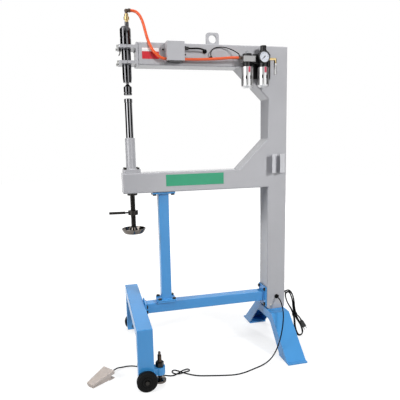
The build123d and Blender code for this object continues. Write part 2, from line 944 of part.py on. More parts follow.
# Swivel between the coupler and the hose
swivel_middle = Vector(inlet_x, 0, swivel_height)
hose_direction = hose_a_route[1] - hose_a_route[0]
outlet_plane = Plane(origin=hose_a_start, z_dir=hose_direction)
with BuildPart() as hose_tail:
    with BuildSketch(Plane((inlet_x, 0, coupler_top))):
        Circle(swivel_stem_radius)
    extrude(amount=swivel_height - coupler_top)
    with BuildSketch(section(inlet_x, 0)):
        with Locations((0, swivel_height)):
            Circle(swivel_ball_radius)
            with Locations((-swivel_ball_radius, 0)):
                Rectangle(2 * swivel_ball_radius, 3 * swivel_ball_radius, mode=Mode.SUBTRACT)
    revolve(axis=upright(inlet_x, 0))
    with BuildSketch(outlet_plane):
        Circle(swivel_outlet_radius)
    extrude(amount=-(hose_a_start - swivel_middle).length)

# Cover over the valve: folded sheet, open below and behind
with BuildPart() as valve_cover:
    with BuildSketch(front(frame_front)):
        with Locations(((cover_left + cover_right) / 2, (cover_bottom + cover_top) / 2)):
            Rectangle(cover_width, cover_height)
    extrude(amount=cover_depth)
    with BuildSketch(front(frame_front)):
        with Locations(((cover_left + cover_right) / 2, cover_bottom)):
            Rectangle(
                cover_width - 2 * cover_sheet,
                cover_height - cover_sheet,
                align=(Align.CENTER, Align.MIN),
            )
    extrude(amount=cover_depth - cover_sheet, mode=Mode.SUBTRACT)
    with BuildSketch(front(frame_front)):
        with Locations((cover_left - cover_flange_width, flange_bottom)):
            Rectangle(cover_flange_width, cover_flange_height, align=Align.MIN)
        with Locations((cover_right, flange_bottom)):
            Rectangle(cover_flange_width, cover_flange_width, align=Align.MIN)
        with Locations(*cover_screw_places):
            Circle(small_screw_radius + bolt_clearance, mode=Mode.SUBTRACT)
    extrude(amount=cover_sheet)
    notch_radius = hose_radius + cover_notch_gap
    with BuildSketch(across(cover_left)):
        with Locations((port_y, port_height)):
            Circle(notch_radius)
            Rectangle(2 * notch_radius, cover_height, align=(Align.CENTER, Align.MAX))
    extrude(amount=cover_width, mode=Mode.SUBTRACT)
    with BuildSketch(across(cover_right)):
        with Locations((port_y, gland_height)):
            Circle(gland_dome_radius + bolt_clearance)
    extrude(amount=-2 * cover_sheet, mode=Mode.SUBTRACT)

# Solenoid valve inside the cover: ported body with its coil on top
valve_middle = axis_x + valve_start + valve_width / 2
with BuildPart() as solenoid_valve:
    with BuildSketch(front(frame_front)):
        with Locations((valve_middle, port_height)):
            Rectangle(valve_width, valve_height)
    extrude(amount=valve_depth)
    with BuildSketch(front(frame_front)):
        with Locations((valve_middle, port_height + valve_height / 2)):
            Rectangle(coil_width, coil_height, align=(Align.CENTER, Align.MIN))
    extrude(amount=coil_depth)

# Hose fittings: a nut at each valve port and at the lubricator, and the clamp on the hose's top end
valve_left = axis_x + valve_start
valve_right = valve_left + valve_width
with BuildPart() as hose_fittings:
    with BuildSketch(across(valve_left)):
        with Locations((port_y, port_height)):
            RegularPolygon(port_nut_radius, 6)
    extrude(amount=-port_nut_length)
    with BuildSketch(across(valve_right)):
        with Locations((port_y, port_height)):
            RegularPolygon(port_nut_radius, 6)
    extrude(amount=port_nut_length)
    with BuildSketch(across(fitting_left)):
        with Locations((unit_y, fitting_height)):
            RegularPolygon(port_nut_radius, 6)
    extrude(amount=port_nut_length)
    with BuildSketch(across(fitting_left + port_nut_length)):
        with Locations((unit_y, fitting_height)):
            Circle(hose_radius)
    extrude(amount=port_nut_length)
    with BuildSketch(outlet_plane):
        Circle(hose_clamp_radius)
        Circle(swivel_outlet_radius + shaft_clearance, mode=Mode.SUBTRACT)
    extrude(amount=-hose_clamp_length)

# Cable gland on the cover's right wall
with BuildPart() as cable_gland:
    with BuildSketch(across(cover_right)):
        with Locations((port_y, gland_height)):
            RegularPolygon(gland_radius, 6)
    extrude(amount=gland_nut_length)
    with BuildSketch(across(cover_right - cover_sheet)):
        with Locations((port_y, gland_height)):
            Circle(gland_dome_radius)
    extrude(amount=cover_sheet + gland_nut_length + gland_dome_length)

# Rubber grommets where leads enter the frame
with BuildPart() as grommets:
    for plane, place, radius, lip_width in grommet_places:
        with BuildSketch(plane):
            with Locations(place):
                Circle(radius + lip_width)
        extrude(amount=grommet_lip)
        with BuildSketch(plane):
            with Locations(place):
                Circle(radius + grommet_neck_width)
        extrude(amount=-frame_wall)

# Bracket of the air treatment unit, with the block that joins its two halves
head_right = lubricator_x + lubricator_head_right
with BuildPart() as frl_bracket:
    with BuildSketch(front(frame_front)):
        with Locations((bracket_left, bracket_top)):
            Rectangle(unit_bracket_width, unit_bracket_height, align=(Align.MIN, Align.MAX))
        with Locations(*unit_screw_places):
            Circle(small_screw_radius + bolt_clearance, mode=Mode.SUBTRACT)
    extrude(amount=unit_bracket_thickness)
    with BuildSketch(front(frame_front)):
        with Locations((head_right, lubricator_bottom - (unit_spacer_height - lubricator_head_height) / 2)):
            Rectangle(regulator_x - regulator_radius - head_right, unit_spacer_height, align=Align.MIN)
    extrude(amount=unit_spacer_depth)

# Lubricator: head with its filler cap, collar, bowl guard and sight dome
lubricator_axis = upright(lubricator_x, unit_y)
with BuildPart() as lubricator_head:
    with BuildSketch(Plane((head_right, unit_y, lubricator_bottom))):
        Rectangle(
            lubricator_head_left + lubricator_head_right,
            lubricator_head_depth,
            align=(Align.MAX, Align.CENTER),
        )
    extrude(amount=lubricator_head_height)
    with BuildSketch(Plane((lubricator_x, unit_y, lubricator_top))):
        Circle(oil_cap_radius)
    extrude(amount=oil_cap_height)
    with BuildSketch(Plane((lubricator_x, unit_y, lubricator_top + oil_cap_height))):
        Circle(dome_stem_radius + shaft_clearance)
    extrude(amount=-(dome_stem + running_gap), mode=Mode.SUBTRACT)

collar_bottom = lubricator_bottom - lubricator_collar_height
with BuildPart() as lubricator_collar:
    with BuildSketch(Plane((lubricator_x, unit_y, collar_bottom))):
        Circle(lubricator_collar_radius)
    extrude(amount=lubricator_collar_height)


def bowl_slot_planes(x, bottom):
    """Planes through a bowl's axis at x that face outwards at each of its sight slots."""
    planes = []
    for turn in range(bowl_slot_count):
        heading = math.radians(360 / bowl_slot_count * turn + bowl_slot_turn)
        outward = (math.cos(heading), math.sin(heading), 0)
        planes.append(
            Plane(
                origin=(x, unit_y, bottom + bowl_slot_rise),
                x_dir=(-outward[1], outward[0], 0),
                z_dir=outward,
            )
        )
    return planes


with BuildPart() as lubricator_bowl:
    bowl_bottom = collar_bottom - bowl_height
    with BuildSketch(section(lubricator_x, unit_y)):
        with BuildLine():
            Polyline(
                (0, bowl_bottom),
                (bowl_radius - bowl_bottom_corner, bowl_bottom),
                (bowl_radius, bowl_bottom + bowl_bottom_corner),
                (bowl_radius, collar_bottom),
                (lubricator_collar_radius - bowl_lip, collar_bottom),
                (lubricator_collar_radius - bowl_lip, collar_bottom - bowl_wall),
                (bowl_radius - bowl_wall, collar_bottom - bowl_wall),
                (bowl_radius - bowl_wall, bowl_bottom + bowl_bottom_corner),
                (bowl_radius - bowl_bottom_corner, bowl_bottom + bowl_wall),
                (0, bowl_bottom + bowl_wall),
                close=True,
            )
        make_face()
    revolve(axis=lubricator_axis)
    for slot_plane in bowl_slot_planes(lubricator_x, bowl_bottom):
        with BuildSketch(slot_plane):
            RectangleRounded(bowl_slot_width, bowl_slot_height, bowl_slot_width / 3)
        extrude(amount=2 * bowl_radius, mode=Mode.SUBTRACT)

dome_bottom = lubricator_top + oil_cap_height + running_gap
with BuildPart() as lubricator_dome:
    with BuildSketch(section(lubricator_x, unit_y)):
        with BuildLine():
            Polyline(
                (dome_radius, dome_bottom + dome_height - dome_radius),
                (dome_radius, dome_bottom),
                (dome_stem_radius, dome_bottom),
                (dome_stem_radius, dome_bottom - dome_stem),
                (0, dome_bottom - dome_stem),
                (0, dome_bottom + dome_height),
            )
            RadiusArc(
                (0, dome_bottom + dome_height),
                (dome_radius, dome_bottom + dome_height - dome_radius),
                dome_radius,
            )
        make_face()
    revolve(axis=lubricator_axis)

# Filter regulator: body with its bonnet, bowl, knob and pressure gauge
regulator_axis = upright(regulator_x, unit_y)
gauge_x = regulator_x - gauge_shift
gauge_height = regulator_top - gauge_drop
gauge_back = unit_y - regulator_radius - gauge_stand_off
with BuildPart() as regulator_body:
    with BuildSketch(Plane((regulator_x, unit_y, regulator_bottom))):
        Circle(regulator_radius)
    extrude(amount=regulator_height)
    with BuildSketch(Plane((regulator_x, unit_y, regulator_top))):
        Circle(bonnet_radius)
    extrude(amount=bonnet_height)
    with BuildSketch(Plane((regulator_x, unit_y, regulator_top + bonnet_height))):
        Circle(knob_stem_radius + shaft_clearance)
    extrude(amount=-(knob_stem + running_gap), mode=Mode.SUBTRACT)
    with BuildSketch(front(gauge_back)):
        with Locations((gauge_x, gauge_height)):
            Circle(gauge_stem_radius + shaft_clearance)
    extrude(amount=-gauge_stem, mode=Mode.SUBTRACT)

with BuildPart() as filter_bowl:
    filter_bottom = regulator_bottom - filter_bowl_height
    with BuildSketch(section(regulator_x, unit_y)):
        Polygon(
            (0, filter_bottom),
            (filter_bowl_radius - bowl_bottom_corner, filter_bottom),
            (filter_bowl_radius, filter_bottom + bowl_bottom_corner),
            (filter_bowl_radius, regulator_bottom),
            (filter_bowl_radius - bowl_wall, regulator_bottom),
            (filter_bowl_radius - bowl_wall, filter_bottom + bowl_bottom_corner),
            (filter_bowl_radius - bowl_bottom_corner, filter_bottom + bowl_wall),
            (0, filter_bottom + bowl_wall),
            align=None,
        )
    revolve(axis=regulator_axis)
    for slot_plane in bowl_slot_planes(regulator_x, filter_bottom):
        with BuildSketch(slot_plane):
            RectangleRounded(bowl_slot_width, bowl_slot_height, bowl_slot_width / 3)
        extrude(amount=2 * filter_bowl_radius, mode=Mode.SUBTRACT)

knob_bottom = regulator_top + bonnet_height + running_gap
with BuildPart() as regulator_knob:
    with BuildSketch(Plane((regulator_x, unit_y, knob_bottom))):
        Circle(knob_radius)
        with PolarLocations(knob_radius, knob_rib_count):
            Circle(knob_rib_radius, mode=Mode.SUBTRACT)
    extrude(amount=knob_height)
    with BuildSketch(Plane((regulator_x, unit_y, knob_bottom))):
        Circle(knob_stem_radius)
    extrude(amount=-knob_stem)

gauge_front = gauge_back - gauge_depth
dial_front = gauge_front + gauge_rim_depth - dial_thickness
with BuildPart() as gauge_case:
    with BuildSketch(front(gauge_back)):
        with Locations((gauge_x, gauge_height)):
            Circle(gauge_radius)
    extrude(amount=gauge_depth)
    with BuildSketch(front(gauge_front)):
        with Locations((gauge_x, gauge_height)):
            Circle(gauge_radius - gauge_rim)
    extrude(amount=-gauge_rim_depth, mode=Mode.SUBTRACT)
    with BuildSketch(front(gauge_back)):
        with Locations((gauge_x, gauge_height)):
            Circle(gauge_stem_radius)
    extrude(amount=-gauge_stem)
    with BuildSketch(front(gauge_front + gauge_rim_depth)):
        with Locations((gauge_x, gauge_height)):
            Circle(needle_pin_radius + shaft_clearance)
    extrude(amount=-gauge_rim_depth, mode=Mode.SUBTRACT)

with BuildPart() as gauge_dial:
    with BuildSketch(front(gauge_front + gauge_rim_depth)):
        with Locations((gauge_x, gauge_height)):
            Circle(gauge_radius - gauge_rim - shaft_clearance)
            Circle(needle_pin_radius + shaft_clearance, mode=Mode.SUBTRACT)
    extrude(amount=dial_thickness)

needle_back = dial_front - running_gap
with BuildPart() as gauge_needle:
    with BuildSketch(front(needle_back)):
        with Locations(Location((gauge_x, gauge_height), needle_rest_angle)):
            Polygon(
                (-needle_tail, -needle_width),
                (needle_length, -needle_width / 4),
                (needle_length, needle_width / 4),
                (-needle_tail, needle_width),
                align=None,
            )
            Circle(needle_hub_radius)
    extrude(amount=needle_thickness)
    with BuildSketch(front(needle_back)):
        with Locations((gauge_x, gauge_height)):
            Circle(needle_pin_radius)
    extrude(amount=-(running_gap + dial_thickness + gauge_rim_depth / 2))

# Air inlet: elbow into the regulator and the plug that a supply hose snaps onto
elbow_start = regulator_x + regulator_radius
elbow_x = elbow_start + elbow_reach
elbow_height = regulator_top - elbow_drop
elbow_bottom = elbow_height - elbow_fall
with BuildPart() as inlet_elbow:
    with BuildSketch(across(regulator_x + regulator_radius / 2)):
        with Locations((unit_y, elbow_height)):
            Circle(elbow_radius)
    extrude(amount=elbow_x - regulator_x - regulator_radius / 2)
    with BuildSketch(Plane((elbow_x, unit_y, elbow_bottom))):
        Circle(elbow_radius)
    extrude(amount=elbow_fall)
    with BuildSketch(section(elbow_x, unit_y)):
        with Locations((0, elbow_height)):
            Circle(elbow_radius)
            with Locations((-elbow_radius, 0)):
                Rectangle(2 * elbow_radius, 3 * elbow_radius, mode=Mode.SUBTRACT)
    revolve(axis=upright(elbow_x, unit_y))
    with BuildSketch(Plane((regulator_x, unit_y, regulator_bottom))):
        Circle(regulator_radius)
    extrude(amount=regulator_height, mode=Mode.SUBTRACT)

with BuildPart() as inlet_plug:
    with BuildSketch(Plane((elbow_x, unit_y, elbow_bottom))):
        RegularPolygon(plug_collar_radius, 6)
    extrude(amount=-plug_collar)
    with BuildSketch(Plane((elbow_x, unit_y, elbow_bottom - plug_collar))):
        Circle(plug_body_radius)
    extrude(amount=-plug_body)
    with BuildSketch(Plane((elbow_x, unit_y, elbow_bottom - plug_collar - plug_body))):
        Circle(plug_neck_radius)
    extrude(amount=-plug_neck)
    with BuildSketch(Plane((elbow_x, unit_y, elbow_bottom - plug_collar - plug_body - plug_neck))):
        Circle(plug_tip_radius)
    extrude(amount=-plug_tip)

# Blank plates on the arms
with BuildPart() as red_plate:
    with BuildSketch(front(frame_front)):
        with Locations((axis_x + red_plate_start, frame_top - red_plate_drop)):
            Rectangle(red_plate_width, red_plate_height, align=(Align.MIN, Align.MAX))
    extrude(amount=plate_thickness)

with BuildPart() as green_plate:
    with BuildSketch(front(frame_front)):
        with Locations((axis_x + green_plate_start, lower_arm_bottom + green_plate_rise)):
            Rectangle(green_plate_width, green_plate_height, align=Align.MIN)
    extrude(amount=plate_thickness)

# Tool rack: two sheets that slope out from the column, open at their left edges
rack_left = column_left + rack_margin
rack_tooth = (column_width - 2 * rack_margin) / 2
with BuildPart() as tool_rack:
    for tooth in range(2):
        tooth_left = rack_left + tooth * rack_tooth
        foot_width = rack_sheet * math.hypot(rack_tooth, rack_tooth_depth) / rack_tooth_depth
        edge_depth = rack_sheet * math.hypot(rack_tooth, rack_tooth_depth) / rack_tooth
        with BuildSketch(Plane.XY.offset(rack_bottom)):
            Polygon(
                (tooth_left, frame_front - rack_tooth_depth),
                (tooth_left + rack_tooth, frame_front),
                (tooth_left + rack_tooth - foot_width, frame_front),
                (tooth_left, frame_front - rack_tooth_depth + edge_depth),
                align=None,
            )
        extrude(amount=rack_height)

# Anvil sleeve, bolted to the lower arm
sleeve_top = lower_arm_top + sleeve_height
flange_top = lower_arm_top + sleeve_flange_thickness
with BuildPart() as anvil_sleeve:
    with BuildSketch(Plane((axis_x, 0, lower_arm_top))):
        RectangleRounded(sleeve_flange, sleeve_flange, sleeve_flange_corner)
        with Locations(*corners(sleeve_bolt_spread, sleeve_bolt_spread)):
            Circle(cap_screw_radius + bolt_clearance, mode=Mode.SUBTRACT)
    extrude(amount=sleeve_flange_thickness)
    with BuildSketch(Plane((axis_x, 0, flange_top))):
        Circle(sleeve_radius)
    extrude(amount=sleeve_top - flange_top)
    with BuildSketch(Plane((axis_x, 0, lower_arm_top))):
        Circle(anvil_post_radius + shaft_clearance)
    extrude(amount=sleeve_height, mode=Mode.SUBTRACT)
    chamfer(anvil_sleeve.edges().group_by(Axis.Z)[-1].sort_by(SortBy.RADIUS)[-1], sleeve_edge)

# Anvil post with the lower die on top
with BuildPart() as anvil_post:
    with BuildSketch(Plane((axis_x, 0, anvil_post_bottom))):
        Circle(anvil_post_radius)
    extrude(amount=anvil_post_top - anvil_post_bottom)
    with BuildSketch(Plane((axis_x, 0, anvil_post_top))):
        Circle(anvil_die_shank_radius + shaft_clearance)
    extrude(amount=-(anvil_die_shank + running_gap), mode=Mode.SUBTRACT)
    with BuildSketch(Plane((axis_x, 0, anvil_post_bottom))):
        Circle(screw_spigot_radius + shaft_clearance)
    extrude(amount=screw_spigot + running_gap, mode=Mode.SUBTRACT)

with BuildPart() as lower_die:
    with BuildSketch(hammer_section):
        Polygon(
            (0, anvil_post_top - anvil_die_shank),
            (anvil_die_shank_radius, anvil_post_top - anvil_die_shank),
            (anvil_die_shank_radius, anvil_post_top),
            (die_radius, anvil_post_top),
            (die_radius, anvil_top - die_edge),
            (die_radius - die_edge, anvil_top),
            (0, anvil_top),
            align=None,
        )
    revolve(axis=hammer_axis)

# Lift screw, turned by the handwheel
with BuildPart() as anvil_screw:
    with BuildSketch(Plane((axis_x, 0, screw_bottom))):
        Circle(screw_radius)
    extrude(amount=screw_top - screw_bottom)
    with BuildSketch(Plane((axis_x, 0, screw_top))):
        Circle(screw_spigot_radius)
    extrude(amount=screw_spigot)

with BuildPart() as screw_nut:
    with BuildSketch(Plane((axis_x, 0, lower_arm_bottom))):
        Circle(nut_flange_radius)
    extrude(amount=-nut_flange)
    with BuildSketch(Plane((axis_x, 0, lower_arm_bottom))):
        Circle(nut_boss_radius)
    extrude(amount=nut_boss)
    with BuildSketch(Plane((axis_x, 0, lower_arm_bottom - nut_flange))):
        Circle(screw_radius + shaft_clearance)
    extrude(amount=nut_flange + nut_boss, mode=Mode.SUBTRACT)

# Lock nut with its rod
lock_top = lower_arm_bottom - lock_nut_drop
lock_middle = Vector(axis_x, 0, lock_top - lock_nut_height / 2)
rod_heading = Vector(-1, 0, 0).rotate(Axis.Z, -lock_rod_turn)
with BuildPart() as lock_nut:
    with BuildSketch(Plane((axis_x, 0, lock_top))):
        Circle(lock_nut_radius)
    extrude(amount=-lock_nut_height)
    with BuildSketch(Plane(origin=lock_middle + rod_heading * lock_nut_radius / 2, z_dir=rod_heading)):
        Circle(lock_stud_radius)
    extrude(amount=lock_stud_reach - lock_nut_radius / 2)
    with BuildSketch(Plane(origin=lock_middle + rod_heading * lock_stud_reach, z_dir=rod_heading)):
        Circle(lock_rod_radius)
    extrude(amount=lock_rod_reach - lock_stud_reach)
    rod_rims = lock_nut.edges().filter_by(lambda edge: edge.geom_type == GeomType.CIRCLE)
    chamfer(rod_rims.sort_by(Axis(lock_middle, rod_heading))[-1], lock_rod_edge)
    with BuildSketch(Plane((axis_x, 0, lock_top))):
        Circle(screw_radius + shaft_clearance)
    extrude(amount=-lock_nut_height, mode=Mode.SUBTRACT)

# Handwheel: a turned dish, open at the top, on a hub
wheel_bottom = lower_arm_bottom - wheel_bottom_drop
rim_top = wheel_bottom + wheel_dish_height
with BuildPart() as handwheel:
    with BuildSketch(hammer_section):
        Polygon(
            (0, wheel_bottom),
            (wheel_foot_radius, wheel_bottom),
            (wheel_heel_radius, wheel_bottom + wheel_heel),
            (wheel_rim_radius, rim_top - wheel_rim_height),
            (wheel_rim_radius, rim_top),
            (wheel_rim_radius - wheel_sheet, rim_top),
            (wheel_rim_radius - wheel_sheet, rim_top - wheel_rim_height),
            (wheel_heel_radius - wheel_sheet, wheel_bottom + wheel_heel),
            (wheel_foot_radius - wheel_sheet, wheel_bottom + wheel_sheet),
            (wheel_hub_radius, wheel_bottom + wheel_sheet),
            (wheel_hub_top_radius, wheel_bottom + wheel_hub_height),
            (screw_radius + shaft_clearance, wheel_bottom + wheel_hub_height),
            (screw_radius + shaft_clearance, screw_bottom - running_gap),
            (0, screw_bottom - running_gap),
            align=None,
        )
    revolve(axis=hammer_axis)

# Post between the lower arm and the beam: square tube with a flange at each end
post_tube_bottom = post_bottom + post_foot_flange
post_tube_top = lower_arm_bottom - post_top_flange
with BuildPart() as post:
    with BuildSketch(Plane((post_x, 0, post_tube_bottom))):
        Rectangle(tube_size, tube_size)
        Rectangle(tube_size - 2 * tube_wall, tube_size - 2 * tube_wall, mode=Mode.SUBTRACT)
    extrude(amount=post_tube_top - post_tube_bottom)
    with BuildSketch(Plane((post_x, 0, post_tube_top))):
        Rectangle(post_top_flange_length, post_top_flange_width)
        with Locations(*corners(post_top_bolt_length, post_top_bolt_width)):
            Circle(bolt_radius + bolt_clearance, mode=Mode.SUBTRACT)
    extrude(amount=post_top_flange)
    with BuildSketch(Plane((post_x, 0, post_bottom))):
        Rectangle(post_foot_flange_length, post_foot_flange_width)
        with Locations(*corners(post_foot_bolt_length, post_foot_bolt_width)):
            Circle(bolt_radius + bolt_clearance, mode=Mode.SUBTRACT)
    extrude(amount=post_foot_flange)

# Beam from the front foot to the column: square tube, a pad for the post and two end flanges
beam_front = foot_rear + beam_flange
beam_rear = column_left - beam_flange
beam_middle = beam_height + tube_size / 2
with BuildPart() as base_beam:
    with BuildSketch(across(beam_front)):
        with Locations((0, beam_middle)):
            Rectangle(tube_size, tube_size)
            Rectangle(tube_size - 2 * tube_wall, tube_size - 2 * tube_wall, mode=Mode.SUBTRACT)
    extrude(amount=beam_rear - beam_front)
    with BuildSketch(Plane((post_x, 0, beam_top))):
        Rectangle(post_foot_flange_length, post_foot_flange_width)
        with Locations(*corners(post_foot_bolt_length, post_foot_bolt_width)):
            Circle(bolt_radius + bolt_clearance, mode=Mode.SUBTRACT)
    extrude(amount=beam_flange)
    with BuildSketch(across(foot_rear)):
        with Locations((0, beam_middle)):
            Rectangle(beam_front_flange_width, beam_front_flange_height)
            with Locations(*corners(beam_front_bolt_width, beam_front_bolt_height / 2)):
                Circle(bolt_radius + bolt_clearance, mode=Mode.SUBTRACT)
    extrude(amount=beam_flange)
    with BuildSketch(across(beam_rear)):
        with Locations((0, beam_middle)):
            Rectangle(beam_rear_flange_width, beam_rear_flange_height)
            with Locations(*corners(beam_rear_bolt_width, beam_rear_bolt_height / 2)):
                Circle(bolt_radius + bolt_clearance, mode=Mode.SUBTRACT)
    extrude(amount=beam_flange)

# Front foot: box section bent down into two legs, with a boss beside each leg
leg_inner = front_foot_half_span - front_foot_leg
foot_beam_bottom = front_foot_top - front_foot_beam
foot_outline = [
    (-front_foot_half_span, front_foot_leg_bottom),
    (-front_foot_half_span, front_foot_top),
    (front_foot_half_span, front_foot_top),
    (front_foot_half_span, front_foot_leg_bottom),
    (leg_inner, front_foot_leg_bottom),
    (leg_inner, foot_beam_bottom),
    (-leg_inner, foot_beam_bottom),
    (-leg_inner, front_foot_leg_bottom),
]
level_boss_top = level_boss_bottom + level_boss_height
with BuildPart() as front_foot:
    with BuildSketch(across(foot_rear - front_foot_width)):
        Polygon(*foot_outline, align=None)
    extrude(amount=front_foot_width)
    with BuildSketch(across(foot_rear - front_foot_width + front_foot_wall)):
        Polygon(*foot_outline, align=None)
        offset(amount=-front_foot_wall, kind=Kind.INTERSECTION)
    extrude(amount=front_foot_width - 2 * front_foot_wall, mode=Mode.SUBTRACT)
    for side in (-1, 1):
        with BuildSketch(Plane((0, side * leg_y, level_boss_bottom))):
            with Locations((level_x, 0)):
                Circle(level_boss_radius)
            with Locations(((foot_rear + level_x) / 2, 0)):
                Rectangle(level_x - foot_rear, level_web)
            with Locations((level_x, 0)):
                Circle(level_stud_radius + shaft_clearance, mode=Mode.SUBTRACT)
        extrude(amount=level_boss_height)
    with BuildSketch(front(-front_foot_half_span)):
        with Locations((foot_x, wheel_radius)):
            Circle(axle_radius + shaft_clearance)
    extrude(amount=-2 * front_foot_half_span, mode=Mode.SUBTRACT)
    with BuildSketch(across(foot_rear)):
        with Locations((0, beam_middle)):
            with Locations(*corners(beam_front_bolt_width, beam_front_bolt_height / 2)):
                Circle(bolt_radius + bolt_clearance)
    extrude(amount=-front_foot_wall, mode=Mode.SUBTRACT)


def wheel(side):
    """Solid rubber wheel outside the front foot's leg on the given side."""
    inner = front_foot_half_span + wheel_gap
    tread = wheel_radius - wheel_tread_corner
    with BuildPart() as turned:
        with BuildSketch(Plane((foot_x, 0, wheel_radius), x_dir=(1, 0, 0), z_dir=(0, 0, 1))):
            Polygon(
                (axle_radius + shaft_clearance, side * inner),
                (tread, side * inner),
                (wheel_radius, side * (inner + wheel_tread_corner)),
                (wheel_radius, side * (inner + wheel_width - wheel_tread_corner)),
                (tread, side * (inner + wheel_width)),
                (wheel_recess_radius + wheel_recess, side * (inner + wheel_width)),
                (wheel_recess_radius, side * (inner + wheel_width - wheel_recess)),
                (axle_radius + shaft_clearance, side * (inner + wheel_width - wheel_recess)),
                align=None,
            )
        revolve(axis=Axis((foot_x, 0, wheel_radius), (0, 1, 0)))
    return turned


def level_foot(side):
    """Levelling foot: threaded stud with a domed pad below."""
    pad_top = level_pad_bottom + level_pad_height
    with BuildPart() as turned:
        with BuildSketch(section(level_x, side * leg_y)):
            Polygon(
                (0, level_pad_bottom),
                (level_pad_radius, level_pad_bottom),
                (level_pad_radius, pad_top - level_pad_crown),
                (level_stud_radius, pad_top),
                (level_stud_radius, level_stud_top - level_stud_tip),
                (level_stud_tip_radius, level_stud_top - level_stud_tip),
                (level_stud_tip_radius, level_stud_top),
                (0, level_stud_top),
                align=None,
            )
        revolve(axis=upright(level_x, side * leg_y))
    return turned


wheel_near = wheel(-1)
wheel_far = wheel(1)
level_foot_near = level_foot(-1)
level_foot_far = level_foot(1)

# Rear foot: an open channel in the shape of an A under the column
slope_run = rear_foot_base_half - rear_foot_top_half
slope_rise = rear_foot_height - rear_foot_sole
slope_shift = rear_foot_side * math.hypot(slope_run, slope_rise) / slope_rise
cut_top_half = rear_foot_top_half + rear_foot_top_plate * slope_run / slope_rise - slope_shift
with BuildPart() as rear_foot:
    with BuildSketch(across(column_left)) as outline:
        Polygon(
            (-rear_foot_top_half, rear_foot_height),
            (rear_foot_top_half, rear_foot_height),
            (rear_foot_base_half, rear_foot_sole),
            (rear_foot_leg_inner, rear_foot_sole),
            (rear_foot_arch_half, rear_foot_arch_top),
            (-rear_foot_arch_half, rear_foot_arch_top),
            (-rear_foot_leg_inner, rear_foot_sole),
            (-rear_foot_base_half, rear_foot_sole),
            align=None,
        )
        arch_corners = outline.vertices().filter_by_position(
            Axis.Y, rear_foot_arch_top - 0.01, rear_foot_arch_top + 0.01
        )
        fillet(arch_corners, rear_foot_arch_corner)
    extrude(amount=column_width)
    with BuildSketch(across(column_left + rear_foot_side)):
        Polygon(
            (-cut_top_half, rear_foot_height - rear_foot_top_plate),
            (cut_top_half, rear_foot_height - rear_foot_top_plate),
            (rear_foot_base_half - slope_shift, rear_foot_sole),
            (slope_shift - rear_foot_base_half, rear_foot_sole),
            align=None,
        )
    extrude(amount=column_width - 2 * rear_foot_side, mode=Mode.SUBTRACT)
    for side in (-1, 1):
        with BuildSketch(across(column_left)):
            with Locations((side * (rear_foot_sole_inner + rear_foot_sole_outer) / 2, rear_foot_sole / 2)):
                Rectangle(rear_foot_sole_outer - rear_foot_sole_inner, rear_foot_sole)
        extrude(amount=column_width)

# Socket-head screws: clamp, sleeve, valve cover and air unit bracket
cap_screw_places = [
    (Plane((cap_left, y, height + clamp_plate / 2), z_dir=(-1, 0, 0)), clamp_screw_length)
    for height in clamp_heights
    for y in (-clamp_screw_spread, clamp_screw_spread)
] + [
    (Plane((axis_x + x, y, flange_top)), sleeve_flange_thickness + frame_wall)
    for x, y in corners(sleeve_bolt_spread, sleeve_bolt_spread)
]
small_screw_places = [
    (Plane((x, frame_front - cover_sheet, z), z_dir=(0, -1, 0))) for x, z in cover_screw_places
] + [
    (Plane((x, frame_front - unit_bracket_thickness, z), z_dir=(0, -1, 0))) for x, z in unit_screw_places
]
with BuildPart() as cap_screws:
    for plane, length in cap_screw_places:
        with BuildSketch(plane):
            Circle(cap_screw_radius)
        extrude(amount=-length)
        with BuildSketch(plane):
            Circle(cap_head_radius)
        extrude(amount=cap_head)
        with BuildSketch(plane.offset(cap_head)):
            RegularPolygon(cap_socket_radius, 6)
        extrude(amount=-cap_socket, mode=Mode.SUBTRACT)
    for plane in small_screw_places:
        with BuildSketch(plane):
            Circle(small_screw_radius)
        extrude(amount=-small_screw_length)
        with BuildSketch(plane):
            Circle(small_head_radius)
        extrude(amount=small_head)
        with BuildSketch(plane.offset(small_head)):
            RegularPolygon(small_socket_radius, 6)
        extrude(amount=-small_socket, mode=Mode.SUBTRACT)

# Hexagon bolts of the stand, wheel axles and the levelling feet's lock nuts
bolt_places = [
    (Plane((post_x + x, y, post_tube_top), z_dir=(0, 0, -1)), post_top_flange + frame_wall)
    for x, y in corners(post_top_bolt_length, post_top_bolt_width)
] + [
    (Plane((post_x + x, y, post_tube_bottom)), post_foot_flange + beam_flange)
    for x, y in corners(post_foot_bolt_length, post_foot_bolt_width)
] + [
    (Plane((beam_front, y, beam_middle + z), z_dir=(1, 0, 0)), beam_flange + front_foot_wall)
    for y, z in corners(beam_front_bolt_width, beam_front_bolt_height / 2)
] + [
    (Plane((beam_rear, y, beam_middle + z), z_dir=(-1, 0, 0)), beam_flange + frame_wall)
    for y, z in corners(beam_rear_bolt_width, beam_rear_bolt_height / 2)
]
axle_face = front_foot_half_span + wheel_gap + wheel_width - wheel_recess + running_gap
with BuildPart() as hex_bolts:
    for plane, length in bolt_places:
        with BuildSketch(plane):
            Circle(bolt_radius)
        extrude(amount=-length)
        with BuildSketch(plane):
            RegularPolygon(bolt_head_radius, 6)
        extrude(amount=bolt_head)
    for side in (-1, 1):
        axle_plane = Plane((foot_x, side * axle_face, wheel_radius), z_dir=(0, side, 0))
        with BuildSketch(axle_plane):
            Circle(axle_radius)
        extrude(amount=-(axle_face - leg_inner + axle_head))
        with BuildSketch(axle_plane):
            RegularPolygon(axle_head_radius, 6)
        extrude(amount=axle_head)
        with BuildSketch(Plane((foot_x, side * leg_inner, wheel_radius), z_dir=(0, -side, 0))):
            RegularPolygon(axle_head_radius, 6)
        extrude(amount=axle_head)
        with BuildSketch(Plane((level_x, side * leg_y, level_boss_top))):
            RegularPolygon(level_nut_radius, 6)
            Circle(level_stud_radius + shaft_clearance, mode=Mode.SUBTRACT)
        extrude(amount=level_nut_height)

